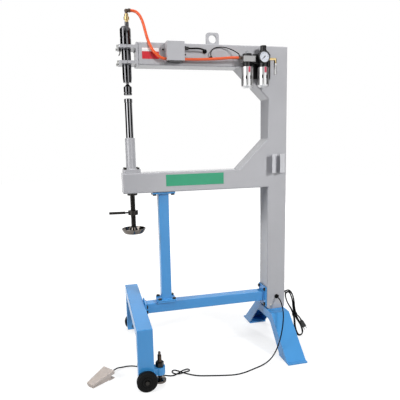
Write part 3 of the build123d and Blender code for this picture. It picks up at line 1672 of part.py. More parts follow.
# Foot pedal: outlines are drawn along the pedal, from the toe (0) to the heel, and across it
pedal_side = Vector(-math.sin(pedal_angle), math.cos(pedal_angle), 0)
pedal_floor = Plane(origin=pedal_toe, x_dir=pedal_along)
pedal_profile = Plane(origin=pedal_toe, x_dir=pedal_along, z_dir=-pedal_side)
heel_plane = Plane(origin=pedal_heel, x_dir=pedal_side, z_dir=pedal_along)


def pedal_half_width(place):
    """Half width of the tapering pedal at a place along it."""
    return pedal_toe_width / 2 + (pedal_heel_width - pedal_toe_width) / 2 * place / pedal_length


def pedal_outline(inset, start, end):
    """Corners of the pedal between two places along it, drawn in by inset at the sides."""
    start_half = pedal_half_width(start) - inset
    end_half = pedal_half_width(end) - inset
    return [(start, -start_half), (end, -end_half), (end, end_half), (start, start_half)]


with BuildPart() as pedal_plate:
    with BuildSketch(pedal_floor):
        Polygon(*pedal_outline(0, 0, pedal_length), align=None)
    extrude(amount=pedal_heel_height)
    with BuildSketch(pedal_profile):
        Polygon(
            (0, pedal_skirt_toe),
            (pedal_length, pedal_skirt_heel),
            (pedal_length, pedal_heel_height),
            (0, pedal_toe_height),
            align=None,
        )
    extrude(amount=pedal_heel_width, both=True, mode=Mode.INTERSECT)
    offset(
        amount=-pedal_sheet,
        openings=pedal_plate.faces().filter_by(lambda face: face.normal_at().Z < -0.5),
        kind=Kind.INTERSECTION,
    )
    with BuildSketch(pedal_profile):
        with Locations((pedal_pin_place, pedal_pin_height)):
            Circle(pedal_pin_radius)
    extrude(amount=pedal_half_width(pedal_pin_place) - pedal_sheet / 2, both=True)
    with BuildSketch(heel_plane):
        Rectangle(pedal_slot_width, pedal_slot_top, align=(Align.CENTER, Align.MIN))
    extrude(amount=-2 * pedal_sheet, mode=Mode.SUBTRACT)

base_inset = pedal_sheet + pedal_base_gap
with BuildPart() as pedal_base:
    with BuildSketch(pedal_floor):
        Polygon(*pedal_outline(base_inset, base_inset, pedal_length - pedal_base_heel_inset), align=None)
    extrude(amount=pedal_heel_height)
    with BuildSketch(pedal_profile):
        Polygon(
            (0, 0),
            (pedal_length, 0),
            (pedal_length, pedal_base_heel_height),
            (0, pedal_base_toe_height),
            align=None,
        )
    extrude(amount=pedal_heel_width, both=True, mode=Mode.INTERSECT)
    offset(
        amount=-pedal_base_wall,
        openings=pedal_base.faces().sort_by(Axis.Z)[-1],
        kind=Kind.INTERSECTION,
    )
    with BuildSketch(pedal_floor):
        Polygon(*pedal_outline(-pedal_lip_overhang, pedal_length * 3 / 4, pedal_length), align=None)
    extrude(amount=pedal_base_floor)
    with BuildSketch(heel_plane):
        with Locations((0, pedal_gland_height)):
            Circle(pedal_gland_radius)
    extrude(amount=pedal_gland_reach)
    with BuildSketch(heel_plane):
        with Locations((0, pedal_gland_height)):
            Circle(pedal_gland_radius)
    extrude(amount=-(pedal_base_heel_inset + pedal_base_wall / 2))
    with BuildSketch(pedal_profile):
        with Locations((pedal_pin_place, pedal_pin_height)):
            Circle(pedal_pin_radius + shaft_clearance)
    extrude(amount=pedal_heel_width, both=True, mode=Mode.SUBTRACT)

cover_slope = (pedal_heel_height - pedal_toe_height) / pedal_length
spring_room = pedal_toe_height + cover_slope * (pedal_spring_place - pedal_spring_radius)
spring_top = spring_room - pedal_sheet * math.hypot(1, cover_slope) - running_gap
with BuildPart() as pedal_spring:
    with BuildSketch(pedal_floor.offset(pedal_base_floor)):
        with Locations((pedal_spring_place, 0)):
            Circle(pedal_spring_radius)
    extrude(amount=spring_top - pedal_base_floor)

# Mains lead: from its grommet into a hank drawn in at the waist, and out to the plug
hank_upper = Vector(axis_x, 0, 0) + Vector(*hank_top)
hank_lower = Vector(axis_x, 0, 0) + Vector(*hank_bottom)
hank_middle = (hank_upper + hank_lower) / 2
hank_along = (hank_lower - hank_upper).normalized()
hank_side = Vector(-hank_along.Z, 0, hank_along.X).normalized()
hank_forward = hank_along.cross(hank_side)
hank_half_length = (hank_lower - hank_upper).length / 2
stations_each_turn = 8
climb_start = hank_turns_each_layer
spiral_end = 2 * hank_turns_each_layer + 0.5


def hank_inset(turn):
    """How far a loop lies inside the outermost one: in at a steady rate, level, and out again."""
    return hank_step * min(turn, hank_turns_each_layer, spiral_end - turn)


def hank_layer(turn):
    """How far forward a loop lies: far layer, a climb along one run, near layer."""
    lobe_to_lobe = 2 / stations_each_turn
    climb = (turn - climb_start - 1 / stations_each_turn) / lobe_to_lobe
    return hank_layer_gap * min(max(climb, 0), 1)


def hank_station(index):
    """Place and heading of the lead at each eighth of a turn, starting at the upper tip."""
    turn = index / stations_each_turn
    inset = hank_inset(turn)
    lobe = hank_half_length - inset - lobe_from_tip
    width = hank_half_width - inset
    along, side, heading = [
        (inset - hank_half_length, 0, hank_side),
        (-lobe, width, hank_along),
        (0, hank_half_waist - inset, hank_along),
        (lobe, width, hank_along),
        (hank_half_length - inset, 0, -hank_side),
        (lobe, -width, -hank_along),
        (0, inset - hank_half_waist, -hank_along),
        (-lobe, -width, -hank_along),
    ][index % stations_each_turn]
    place = hank_middle + hank_along * along + hank_side * side + hank_forward * hank_layer(turn)
    return place, heading


def arcs_between(start, start_heading, end, end_heading):
    """Where two tangent arcs between a pair of places meet, and the heading there."""
    chord = end - start
    both = start_heading + end_heading
    spread = 2 * (1 - start_heading.dot(end_heading))
    if spread < 1e-6:
        arm = chord.dot(chord) / (4 * chord.dot(end_heading))
    else:
        arm = (math.sqrt(chord.dot(both) ** 2 + spread * chord.dot(chord)) - chord.dot(both)) / spread
    first_corner = start + start_heading * arm
    last_corner = end - end_heading * arm
    return (first_corner + last_corner) / 2, (last_corner - first_corner).normalized()


plug_tilt = math.radians(plug_lean)
plug_heading = hank_along * math.cos(plug_tilt) + hank_side * math.sin(plug_tilt)
plug_back = (
    hank_middle
    + hank_along * plug_place[0]
    + hank_side * plug_place[1]
    + hank_forward * plug_depth
)
cord_start = Vector(column_right + grommet_lip, 0, cord_exit_height)
cord_diameter = 2 * cord_radius
station_count = round((spiral_end - 0.25) * stations_each_turn)
stations = [(cord_start + Vector(cord_diameter, 0, 0), Vector(1, 0, 0))]
stations += [hank_station(index) for index in range(station_count + 1)]
stations += [(plug_back - plug_heading * cord_diameter, plug_heading)]
with BuildPart() as power_cord:
    with BuildLine() as cord_path:
        Line(cord_start, stations[0][0])
        for (place, heading), (next_place, next_heading) in zip(stations, stations[1:]):
            meeting, meeting_heading = arcs_between(place, heading, next_place, next_heading)
            TangentArc(place, meeting, tangent=heading)
            TangentArc(meeting, next_place, tangent=meeting_heading)
        Line(stations[-1][0], plug_back)
    with BuildSketch(Plane(origin=cord_start, z_dir=(1, 0, 0))):
        Circle(cord_radius)
    sweep()

# Least gap of the hank to itself, measured on points along its middle line
sample_step = 2
samples = []
travelled = 0
for edge in cord_path.edges():
    count = max(2, round(edge.length / sample_step))
    for step in range(count):
        samples.append((travelled + edge.length * step / count, edge @ (step / count)))
    travelled += edge.length
least_gap = min(
    (point - other).length - cord_diameter
    for index, (distance, point) in enumerate(samples)
    for other_distance, other in samples[index + 1 :]
    if other_distance - distance > 4 * cord_diameter
)
cord_ratio = power_cord.part.volume / (math.pi * cord_radius**2 * travelled)
print(f"power_cord: {travelled:.0f} long, least gap {least_gap:.2f}, volume ratio {cord_ratio:.4f}")

# Mains plug: neck, tapering body and two flat prongs
plug_plane = Plane(origin=plug_back, x_dir=hank_side, z_dir=plug_heading)
with BuildPart() as power_plug:
    with BuildSketch(plug_plane):
        Circle(mains_plug_neck_radius)
    extrude(amount=mains_plug_neck)
    with BuildSketch(plug_plane.offset(mains_plug_neck)):
        RectangleRounded(mains_plug_neck_width, mains_plug_thickness, mains_plug_corner)
    with BuildSketch(plug_plane.offset(mains_plug_neck + mains_plug_length)):
        RectangleRounded(mains_plug_width, mains_plug_thickness, mains_plug_corner)
    loft()
    with BuildSketch(plug_plane.offset(mains_plug_neck + mains_plug_length)):
        with Locations((-prong_spread, 0), (prong_spread, 0)):
            Rectangle(prong_thickness, prong_width)
    extrude(amount=prong_length)

pieces = {
    "c_frame": c_frame,
    "lifting_lug": lifting_lug,
    "hammer_bracket": hammer_bracket,
    "clamp_caps": clamp_caps,
    "clamp_lever": clamp_lever,
    "cap_screws": cap_screws,
    "hammer_barrel": hammer_barrel,
    "hammer_backhead": hammer_backhead,
    "piston": piston,
    "upper_die": upper_die,
    "coupler_body": coupler_body,
    "coupler_sleeve": coupler_sleeve,
    "hose_tail": hose_tail,
    "hose_a": hose_a,
    "hose_b": hose_b,
    "hose_fittings": hose_fittings,
    "valve_cover": valve_cover,
    "solenoid_valve": solenoid_valve,
    "cable_gland": cable_gland,
    "valve_cable": valve_cable,
    "grommets": grommets,
    "sense_line": sense_line,
    "frl_bracket": frl_bracket,
    "lubricator_head": lubricator_head,
    "lubricator_collar": lubricator_collar,
    "lubricator_bowl": lubricator_bowl,
    "lubricator_dome": lubricator_dome,
    "regulator_body": regulator_body,
    "filter_bowl": filter_bowl,
    "regulator_knob": regulator_knob,
    "gauge_case": gauge_case,
    "gauge_dial": gauge_dial,
    "gauge_needle": gauge_needle,
    "inlet_elbow": inlet_elbow,
    "inlet_plug": inlet_plug,
    "red_plate": red_plate,
    "green_plate": green_plate,
    "tool_rack": tool_rack,
    "anvil_sleeve": anvil_sleeve,
    "anvil_post": anvil_post,
    "lower_die": lower_die,
    "anvil_screw": anvil_screw,
    "screw_nut": screw_nut,
    "lock_nut": lock_nut,
    "handwheel": handwheel,
    "post": post,
    "base_beam": base_beam,
    "front_foot": front_foot,
    "wheel_near": wheel_near,
    "wheel_far": wheel_far,
    "level_foot_near": level_foot_near,
    "level_foot_far": level_foot_far,
    "rear_foot": rear_foot,
    "hex_bolts": hex_bolts,
    "pedal_base": pedal_base,
    "pedal_plate": pedal_plate,
    "pedal_spring": pedal_spring,
    "pedal_cable": pedal_cable,
    "power_cord": power_cord,
    "power_plug": power_plug,
}
for name, piece in pieces.items():
    piece.part.label = name
    export_step(piece.part, f"parts/{name}.step")
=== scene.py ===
"""Looks of the planishing hammer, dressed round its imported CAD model.

Metres, in the CAD's own frame: X along the arms, Y through the frame with the front at -Y, and Z up
from the floor. Lists of places are in millimetres from the hammer's axis.
"""

import json
import math

import bmesh
import bpy
from mathutils import Matrix, Vector

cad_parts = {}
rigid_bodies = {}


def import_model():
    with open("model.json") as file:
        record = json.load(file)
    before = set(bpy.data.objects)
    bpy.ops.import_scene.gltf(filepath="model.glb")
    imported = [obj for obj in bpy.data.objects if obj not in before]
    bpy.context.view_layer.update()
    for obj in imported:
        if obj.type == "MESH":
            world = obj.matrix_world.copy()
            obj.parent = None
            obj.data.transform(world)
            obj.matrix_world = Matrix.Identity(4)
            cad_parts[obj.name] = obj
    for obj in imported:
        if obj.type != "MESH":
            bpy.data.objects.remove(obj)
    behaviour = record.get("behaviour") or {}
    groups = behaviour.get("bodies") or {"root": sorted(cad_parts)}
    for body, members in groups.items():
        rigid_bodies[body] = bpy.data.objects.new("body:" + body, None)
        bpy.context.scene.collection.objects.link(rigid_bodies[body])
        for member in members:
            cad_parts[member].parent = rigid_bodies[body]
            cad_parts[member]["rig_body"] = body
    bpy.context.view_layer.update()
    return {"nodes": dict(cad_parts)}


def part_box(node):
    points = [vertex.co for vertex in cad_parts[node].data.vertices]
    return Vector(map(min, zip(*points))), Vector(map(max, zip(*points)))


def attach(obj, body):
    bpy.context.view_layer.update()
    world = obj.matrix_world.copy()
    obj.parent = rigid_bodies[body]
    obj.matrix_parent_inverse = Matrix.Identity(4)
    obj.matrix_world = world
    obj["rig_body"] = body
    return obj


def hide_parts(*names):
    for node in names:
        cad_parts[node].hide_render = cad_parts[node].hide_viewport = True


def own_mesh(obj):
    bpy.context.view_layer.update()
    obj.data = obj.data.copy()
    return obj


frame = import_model()
scene = bpy.context.scene
scene.view_settings.view_transform = "Standard"

MM = 0.001
STAND = "stand"
barrel_low, barrel_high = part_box("hammer_barrel")
axis_x = (barrel_low.x + barrel_high.x) / 2


def place(x, y, z):
    """Point in the shared frame from millimetres along X from the hammer's axis, Y and Z."""
    return Vector((axis_x + x * MM, y * MM, z * MM))


def underside(node):
    """Middle of the underside of a CAD node's box."""
    low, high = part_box(node)
    return Vector(((low.x + high.x) / 2, (low.y + high.y) / 2, low.z))


def measured(node):
    """Corners of a CAD node's box in the terms of place().

    They are rounded to a tenth of a millimetre, because facets fall just short of round faces.
    """
    return [
        [round(value / MM, 1) for value in (corner.x - axis_x, corner.y, corner.z)]
        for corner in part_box(node)
    ]


# The pedal lies askew on the floor
pedal_turn = math.radians(41)
pedal_along = Vector((math.cos(pedal_turn), math.sin(pedal_turn), 0))
pedal_toe = place(-245.5, -225, 0)


# Finishes


def linear(hex_colour):
    """Linear colour of an sRGB hex value."""
    channels = [int(hex_colour[i : i + 2], 16) / 255 for i in (1, 3, 5)]
    return [c / 12.92 if c <= 0.04045 else ((c + 0.055) / 1.055) ** 2.4 for c in channels] + [1.0]


def shade(hex_colour, factor):
    """Linear colour of an sRGB hex value, made darker or paler."""
    return [min(1.0, channel * factor) for channel in linear(hex_colour)[:3]] + [1.0]


def add(tree, kind, settings=(), inputs=()):
    """Add a node with its own settings, and set or link its inputs by name or number."""
    node = tree.nodes.new(kind)
    for name, value in dict(settings).items():
        setattr(node, name, value)
    for key, value in dict(inputs).items():
        if isinstance(value, bpy.types.NodeSocket):
            tree.links.new(value, node.inputs[key])
        else:
            node.inputs[key].default_value = value
    return node


def finish(name, slot, sockets):
    """New material with its Principled sockets set and its record slot kept with it.

    Its node tree, its shader and the object's own coordinates come along.
    """
    material = bpy.data.materials.new(name)
    material.use_nodes = True
    material["slot"] = slot
    tree = material.node_tree
    shader = tree.nodes["Principled BSDF"]
    for socket, value in sockets.items():
        shader.inputs[socket].default_value = value
    at = add(tree, "ShaderNodeTexCoord").outputs["Object"]
    return material, tree, shader, at


def edge_share(tree, radius, sharp=0.8, flat=0.985):
    """1 along sharp edges within the radius and 0 on flat faces, told by the turn of the normal."""
    softened = add(tree, "ShaderNodeBevel", {"samples": 4}, {"Radius": radius})
    face = add(tree, "ShaderNodeNewGeometry")
    turn = add(
        tree,
        "ShaderNodeVectorMath",
        {"operation": "DOT_PRODUCT"},
        {0: softened.outputs["Normal"], 1: face.outputs["Normal"]},
    )
    share = add(
        tree,
        "ShaderNodeMapRange",
        inputs={"Value": turn.outputs["Value"], "From Min": flat, "From Max": sharp},
    )
    return share.outputs["Result"]


def noise(tree, at, grain_mm, detail):
    """Cloudy pattern from 0 to 1, with grains of about this size."""
    inputs = {"Vector": at, "Scale": 1 / (grain_mm * MM), "Detail": detail}
    return add(tree, "ShaderNodeTexNoise", inputs=inputs).outputs[0]


def combined(tree, operation, first, second):
    """Two values combined by one of the maths node's operations."""
    return add(tree, "ShaderNodeMath", {"operation": operation}, {0: first, 1: second}).outputs[0]


def blend(tree, share, first, second):
    """Colour between two others, with this share of the second."""
    colours = {0: share, 6: first, 7: second}
    return add(tree, "ShaderNodeMix", {"data_type": "RGBA"}, colours).outputs[2]


def vary_gloss(tree, shader, pattern, smooth, rough):
    """Let the roughness follow a pattern."""
    inputs = {"Value": pattern, "To Min": smooth, "To Max": rough}
    gloss = add(tree, "ShaderNodeMapRange", inputs=inputs)
    tree.links.new(gloss.outputs["Result"], shader.inputs["Roughness"])


def emboss(tree, shader, pattern, strength, depth_mm):
    """Let the surface rise and fall with a pattern."""
    inputs = {"Height": pattern, "Strength": strength, "Distance": depth_mm * MM}
    bump = add(tree, "ShaderNodeBump", inputs=inputs)
    tree.links.new(bump.outputs["Normal"], shader.inputs["Normal"])


def powder_coat(name, slot, colour, thin_edge_and_highlight_colour, roughness):
    """Baked powder coat: satin, faintly uneven in tone, with orange peel, and paler edges that are partly
    thin paint and partly a painted highlight.
    """
    cloud_mm, rub_mm, edge_mm = 130, 35, 1.6
    # Orange peel is about 1.5 mm across; it is drawn coarser so that it shows
    peel_mm = 4
    material, tree, shader, at = finish(name, slot, {"IOR": 1.5, "Specular IOR Level": 0.55})
    clouds = noise(tree, at, cloud_mm, detail=4)
    body = blend(tree, clouds, shade(colour, 0.93), shade(colour, 1.06))
    # Paler colour along sharp edges: thinner paint there, and partly a painted highlight
    worn_and_lit = blend(tree, edge_share(tree, edge_mm * MM), body, linear(thin_edge_and_highlight_colour))
    tree.links.new(worn_and_lit, shader.inputs["Base Color"])
    rubs = noise(tree, at, rub_mm, detail=5)
    vary_gloss(tree, shader, rubs, roughness - 0.06, roughness + 0.08)
    emboss(tree, shader, noise(tree, at, peel_mm, detail=2), strength=0.18, depth_mm=0.15)
    return material


def bare_metal(name, slot, colour, roughness, lines, line_mm):
    """Machined or plated metal: fine tool marks, stretched along the axes where `lines` is small."""
    material, tree, shader, at = finish(name, slot, {"Base Color": linear(colour), "Metallic": 1.0})
    drawn = add(tree, "ShaderNodeMapping", inputs={"Vector": at, "Scale": lines})
    marks = noise(tree, drawn.outputs["Vector"], line_mm, detail=3)
    vary_gloss(tree, shader, marks, roughness * 0.7, roughness * 1.4)
    emboss(tree, shader, marks, strength=0.1, depth_mm=0.05)
    return material


def blackened(name, slot, colour, edge_colour, roughness, wear):
    """Blacked steel: a dark mirror that is still metal, rubbed to a paler line along its edges."""
    patch_mm, edge_mm = 18, 0.8
    material, tree, shader, at = finish(name, slot, {"Metallic": 1.0})
    patches = noise(tree, at, patch_mm, detail=5)
    edges = edge_share(tree, edge_mm * MM, sharp=0.7)
    rubbed = combined(tree, "MULTIPLY", combined(tree, "MULTIPLY", edges, patches), wear)
    body = blend(tree, rubbed, linear(colour), linear(edge_colour))
    tree.links.new(body, shader.inputs["Base Color"])
    vary_gloss(tree, shader, patches, roughness - 0.05, roughness + 0.12)
    return material


def moulded(name, slot, colour, roughness, grain_mm, sockets=()):
    """Moulded plastic or rubber: one colour right through, with the mould's fine spark grain."""
    cloud_mm = 40
    material, tree, shader, at = finish(name, slot, {"IOR": 1.5, **dict(sockets)})
    clouds = noise(tree, at, cloud_mm, detail=4)
    body = blend(tree, clouds, shade(colour, 0.9), shade(colour, 1.1))
    tree.links.new(body, shader.inputs["Base Color"])
    grain = noise(tree, at, grain_mm, detail=2)
    vary_gloss(tree, shader, grain, roughness - 0.05, roughness + 0.07)
    emboss(tree, shader, grain, strength=0.25, depth_mm=0.06)
    return material


# Tool marks that run round an upright piece, or lie evenly
ROUND = (0.03, 0.03, 1.0)
EVEN = (1.0, 1.0, 1.0)
# Black rubber and vinyl hardly mirror anything
QUIET = {"Specular IOR Level": 0.1}
# Semi-gloss coats on the frame and the stand; their rounded edges catch a pale line of light, which the
# coats' paler edge colour partly paints in as a painted highlight
grey_coat = powder_coat("grey_powder_coat", "grey_paint", "#B0B0B4", "#D0D0D4", 0.20)
# The rack's thin sheets get a paler grey than the frame: painted light, for the light their bent sheets
# catch more than the frame's faces
rack_painted_light_coat = powder_coat("grey_powder_coat_painted_lighter", "grey_paint", "#DCDCE0", "#F0F0F2", 0.24)
blue_coat = powder_coat("blue_powder_coat", "blue_paint", "#4092D2", "#74B2E4", 0.22)
# Blued hammer parts mirror the studio in bright stripes on near black
blued_steel = blackened("blued_steel", "black_metal", "#606062", "#8A8A8C", 0.09, 0.5)
# Oil-blacked fasteners are duller, and brown where the oil has dried
black_oxide = blackened("oil_blacked_steel", "black_metal", "#343230", "#6A655E", 0.34, 0.9)
brown_steel = blackened("brown_oiled_steel", "black_metal", "#5C5048", "#8C8074", 0.30, 0.9)
# Hard chrome is a clean mirror with the faintest grinding lines round it
hard_chrome = bare_metal("hard_chrome", "chrome", "#828284", 0.05, ROUND, 0.8)
# Bright zinc plate is pale and slightly cloudy, so that small screws stand out
zinc_plate = bare_metal("zinc_plated_steel", "steel", "#B9B9B6", 0.32, EVEN, 3)
# Pale turned brass, a little dulled
brass = bare_metal("turned_brass", "brass", "#CDB684", 0.26, ROUND, 1)
# Satin die castings, blasted before plating, so that they glow evenly
cast_alloy = bare_metal("satin_die_casting", "aluminium", "#A0A0A0", 0.42, EVEN, 2)
satin_nickel = bare_metal("satin_nickel", "aluminium", "#D6D6D6", 0.38, EVEN, 2)
# Spun and polished steel: dark, with fine rings from the lathe
spun_steel = bare_metal("spun_steel", "aluminium", "#6A645F", 0.15, ROUND, 1)
# Black nylon has a soft sheen on its corners, rubber is dull, and vinyl is darker than both
black_nylon = moulded("black_nylon", "black_plastic", "#0D0D0E", 0.34, 1.5)
black_rubber = moulded("black_rubber", "black_rubber", "#121212", 0.6, 2, QUIET)
black_sheath = moulded("black_vinyl_sheath", "black_rubber", "#060607", 0.45, 1.5, QUIET)
# Polyurethane hose: bright orange under a thin gloss that draws a light along it
hose_gloss = {"Coat Weight": 0.2, "Coat Roughness": 0.2}
orange_hose = moulded("orange_polyurethane", "orange_hose", "#DE5418", 0.30, 2, hose_gloss)
# Enamel on the pedal: warm grey and nearly matt
beige_shell = moulded("beige_enamelled_shell", "beige_plastic", "#BBB0A8", 0.46, 2)
# White card behind the gauge's needle: matt and faintly blue
dial_card = moulded("white_dial_card", "white_dial", "#E4E8F0", 0.6, 2)
# Plastic film on thin plates: flat colours with a low sheen
red_film = moulded("red_film_plate", "red_plate", "#C6222E", 0.35, 3)
white_film = moulded("white_film", "white_dial", "#EFEDEC", 0.4, 3)
green_film = moulded("green_film_plate", "green_plate", "#2F9A73", 0.38, 3)
# Red nylon latches, paler than the plate
red_nylon = moulded("red_nylon", "red_plate", "#C4405A", 0.4, 1.5)
# Clear polycarbonate: the filler cap shows through it
clear_dome, _, _, _ = finish(
    "clear_polycarbonate",
    "clear_plastic",
    {"Base Color": linear("#EEF3F4"), "Roughness": 0.05, "IOR": 1.58, "Transmission Weight": 1.0},
)


# CAD solids with their sharp edges taken off

SHARP = math.radians(35)
# A long edge and the room beside an edge, in widths of the rounding
LONG_WIDTHS = 8
ROOM_WIDTHS = 2.2
SMALL_ROUNDING_MM = 0.9
SLIVER = 0.02 * MM


def mesh_of(name, shape):
    """Mesh of a finished shape, which is freed."""
    mesh = bpy.data.meshes.new(name)
    shape.to_mesh(mesh)
    shape.free()
    return mesh


def keep(piece, material, body, nodes=()):
    """Put a finished piece in the scene: its material, its smooth shading and what it stands for."""
    scene.collection.objects.link(piece)
    piece.data.materials.append(material)
    if piece.type == "MESH":
        for face in piece.data.polygons:
            face.use_smooth = True
        piece.data.set_sharp_from_angle(angle=SHARP)
    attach(piece, body)
    if nodes:
        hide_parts(*nodes)
    return piece


def roomy(edge, width, others=()):
    """Whether the edges that meet this one are long enough to be cut back by its rounding."""
    meeting = [other for vert in edge.verts for other in vert.link_edges if other is not edge]
    return all(other in others or other.calc_length() > ROOM_WIDTHS * width for other in meeting)


def rounded(shape, geom, width, segments, affect="EDGES", clamp=True):
    """Round edges, or the corners of a flat outline, and give the new edges."""
    return bmesh.ops.bevel(
        shape,
        geom=geom,
        offset=width,
        offset_type="OFFSET",
        segments=segments,
        profile=0.5,
        affect=affect,
        material=-1,
        clamp_overlap=clamp,
    )["edges"]


def dressed(node, material, edge_mm, segments=3, chosen=None, only=None, suffix="finished"):
    """A CAD solid again, merged, with its sharp edges rounded as filing, tumbling or paint leaves them.

    Long edges get the full rounding, and small ones as much as there is room for, or none where that
    is too little to be seen. `chosen` picks the edges with the full rounding instead, and `only` picks
    solids of the node by place.
    """
    source = frame["nodes"][node]
    shape = bmesh.new()
    shape.from_mesh(source.data)
    bmesh.ops.remove_doubles(shape, verts=shape.verts, dist=0.002 * MM)
    if only:
        others = [vert for vert in shape.verts if not only(vert.co)]
        bmesh.ops.delete(shape, geom=others, context="VERTS")
    bmesh.ops.dissolve_limit(
        shape, angle_limit=math.radians(0.5), verts=shape.verts, edges=shape.edges
    )
    small_mm = min(edge_mm, SMALL_ROUNDING_MM)
    for width, steps, long_ones in ((edge_mm * MM, segments, True), (small_mm * MM, 2, False)):
        sharp = {
            edge for edge in shape.edges if edge.is_manifold and edge.calc_face_angle(0) > SHARP
        }
        if long_ones and chosen:
            edges = [edge for edge in sharp if chosen(edge)]
        elif long_ones:
            long_edges = [edge for edge in sharp if edge.calc_length() > LONG_WIDTHS * width]
            edges = [edge for edge in long_edges if roomy(edge, width)]
        else:
            edges = [edge for edge in sharp if roomy(edge, width, sharp)]
        before = shape.copy()
        new_edges = rounded(shape, edges, width, steps, clamp=not long_ones)
        # A rounding with more than a third of slivers is taken back
        slivers = [edge for edge in new_edges if edge.calc_length() < SLIVER]
        if len(slivers) > len(new_edges) / 3:
            shape, before = before, shape
        before.free()
    name = f"{node}_{suffix}"
    piece = bpy.data.objects.new(name, mesh_of(name, shape))
    keep(piece, material, source["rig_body"], [node])
    weighted = piece.modifiers.new("even_shading", "WEIGHTED_NORMAL")
    weighted.keep_sharp = True


# Finish, rounding in millimetres, and the nodes that have both
plain_pieces = [
    (grey_coat, 1.5, ["lifting_lug", "hammer_bracket", "clamp_caps", "anvil_sleeve"]),
    (rack_painted_light_coat, 0.6, ["tool_rack"]),
    (grey_coat, 1.2, ["valve_cover"]),
    (blue_coat, 3.0, ["post", "base_beam", "front_foot"]),
    (blue_coat, 1.4, ["rear_foot"]),
    (blued_steel, 0.8, ["hammer_barrel", "hammer_backhead", "upper_die"]),
    (black_oxide, 0.6, ["hex_bolts", "lock_nut", "screw_nut", "clamp_lever"]),
    (brown_steel, 0.3, ["hose_tail", "hose_fittings"]),
    (hard_chrome, 0.8, ["anvil_post", "lower_die"]),
    (satin_nickel, 0.4, ["inlet_plug"]),
    (zinc_plate, 0.3, ["piston"]),
    (brass, 0.4, ["coupler_body", "coupler_sleeve", "inlet_elbow"]),
    (cast_alloy, 1.0, ["lubricator_head"]),
    (satin_nickel, 0.6, ["lubricator_bowl", "filter_bowl"]),
    (spun_steel, 0.8, ["handwheel"]),
    (black_nylon, 0.6, ["lubricator_collar", "regulator_body", "gauge_case", "frl_bracket"]),
    (black_nylon, 0.4, ["regulator_knob", "cable_gland", "solenoid_valve", "power_plug", "gauge_needle"]),
    (black_rubber, 0.4, ["grommets"]),
    (black_rubber, 1.5, ["wheel_near", "wheel_far"]),
    (clear_dome, 0.6, ["lubricator_dome"]),
    (dial_card, 0.1, ["gauge_dial"]),
    (red_film, 0.2, ["red_plate"]),
    (green_film, 0.2, ["green_plate"]),
    (beige_shell, 3.0, ["pedal_plate"]),
    (beige_shell, 0.8, ["pedal_base"]),
]
for material, edge_mm, nodes in plain_pieces:
    for node in nodes:
        dressed(node, material, edge_mm)


# Top of the round corners at the column's foot, and the least length of the frame's straight runs
column_foot_top = underside("c_frame").z + 19 * MM
shortest_run = 110 * MM
# The clamp's screws are above this place and nearer to the hammer
clamp_corner = place(100, 0, 1200)


def tube_corner(edge):
    """Whether an edge runs along a corner of the frame's box section, or round the column's foot."""
    fronts = [abs(face.normal.y) > 0.9 for face in edge.link_faces]
    at_foot = all(vert.co.z < column_foot_top for vert in edge.verts)
    return (at_foot or edge.calc_length() > shortest_run) and any(fronts) and not all(fronts)


def at_clamp(spot):
    """Whether a screw is one of the hammer clamp's."""
    return spot.z > clamp_corner.z and spot.x < clamp_corner.x


dressed("c_frame", grey_coat, edge_mm=6, segments=5, chosen=tube_corner)
dressed("cap_screws", zinc_plate, 0.4, only=at_clamp, suffix="of_clamp")
dressed("cap_screws", black_oxide, 0.4, only=lambda spot: not at_clamp(spot), suffix="of_frame")


# Shapes of the small pieces

LATHE_STEPS = 40
THREAD_STEPS = 20
SPRING_STEPS = 24
WELD_RADIUS = 3.2 * MM
WELD_RIPPLE = 9 * MM
WELD_WAIST = 0.8


def made(name, shape, material, body=STAND, nodes=()):
    """Finish a modelled shape as a piece of its own."""
    return keep(bpy.data.objects.new(name, mesh_of(name, shape)), material, body, nodes)


def joined(shapes):
    """One shape out of several."""
    whole = bmesh.new()
    for shape in shapes:
        mesh = mesh_of("joined", shape)
        whole.from_mesh(mesh)
        bpy.data.meshes.remove(mesh)
    return whole


def drawn_mesh(curve):
    """Mesh of a text or a curve, which goes once it is drawn."""
    holder = bpy.data.objects.new(curve.name, curve)
    mesh = bpy.data.meshes.new_from_object(holder)
    bpy.data.objects.remove(holder)
    bpy.data.curves.remove(curve)
    return mesh


def spin(shape, geom, angle, steps, rise=0.0, merge=False):
    """Spin a part of a shape round the Z axis, with the same rise at each step."""
    bmesh.ops.spin(
        shape,
        geom=geom,
        cent=(0, 0, 0),
        axis=(0, 0, 1),
        dvec=(0, 0, rise),
        angle=angle,
        steps=steps,
        use_merge=merge,
    )


def point_along(shape, foot, axis):
    """Turn a shape from the Z axis to another axis, and move it to its foot."""
    turn = Vector((0, 0, 1)).rotation_difference(axis).to_matrix().to_4x4()
    bmesh.ops.transform(shape, matrix=Matrix.Translation(foot) @ turn, verts=shape.verts)


def turned(outline, foot, axis=Vector((0, 0, 1)), ring=False):
    """Lathe-turned shape: radius and height pairs in millimetres, spun round the axis through foot."""
    shape = bmesh.new()
    verts = [shape.verts.new((radius * MM, 0, height * MM)) for radius, height in outline]
    edges = [shape.edges.new(pair) for pair in zip(verts, verts[1:])]
    if ring:
        edges.append(shape.edges.new((verts[-1], verts[0])))
    spin(shape, verts + edges, math.tau, LATHE_STEPS, merge=True)
    bmesh.ops.remove_doubles(shape, verts=shape.verts, dist=0.001 * MM)
    bmesh.ops.recalc_face_normals(shape, faces=shape.faces)
    point_along(shape, foot, axis)
    return shape


def block(low, high, edge_mm):
    """Rectangular piece between two corners, with rounded edges."""
    shape = bmesh.new()
    bmesh.ops.create_cube(shape, size=1)
    bmesh.ops.scale(shape, vec=high - low, verts=shape.verts)
    bmesh.ops.translate(shape, vec=(low + high) / 2, verts=shape.verts)
    rounded(shape, shape.edges, edge_mm * MM, segments=3)
    return shape


def closed(shape):
    """Close a shape's open ends and point its faces outwards."""
    rims = [edge for edge in shape.edges if edge.is_boundary]
    bmesh.ops.holes_fill(shape, edges=rims, sides=0)
    bmesh.ops.recalc_face_normals(shape, faces=shape.faces)
    return shape


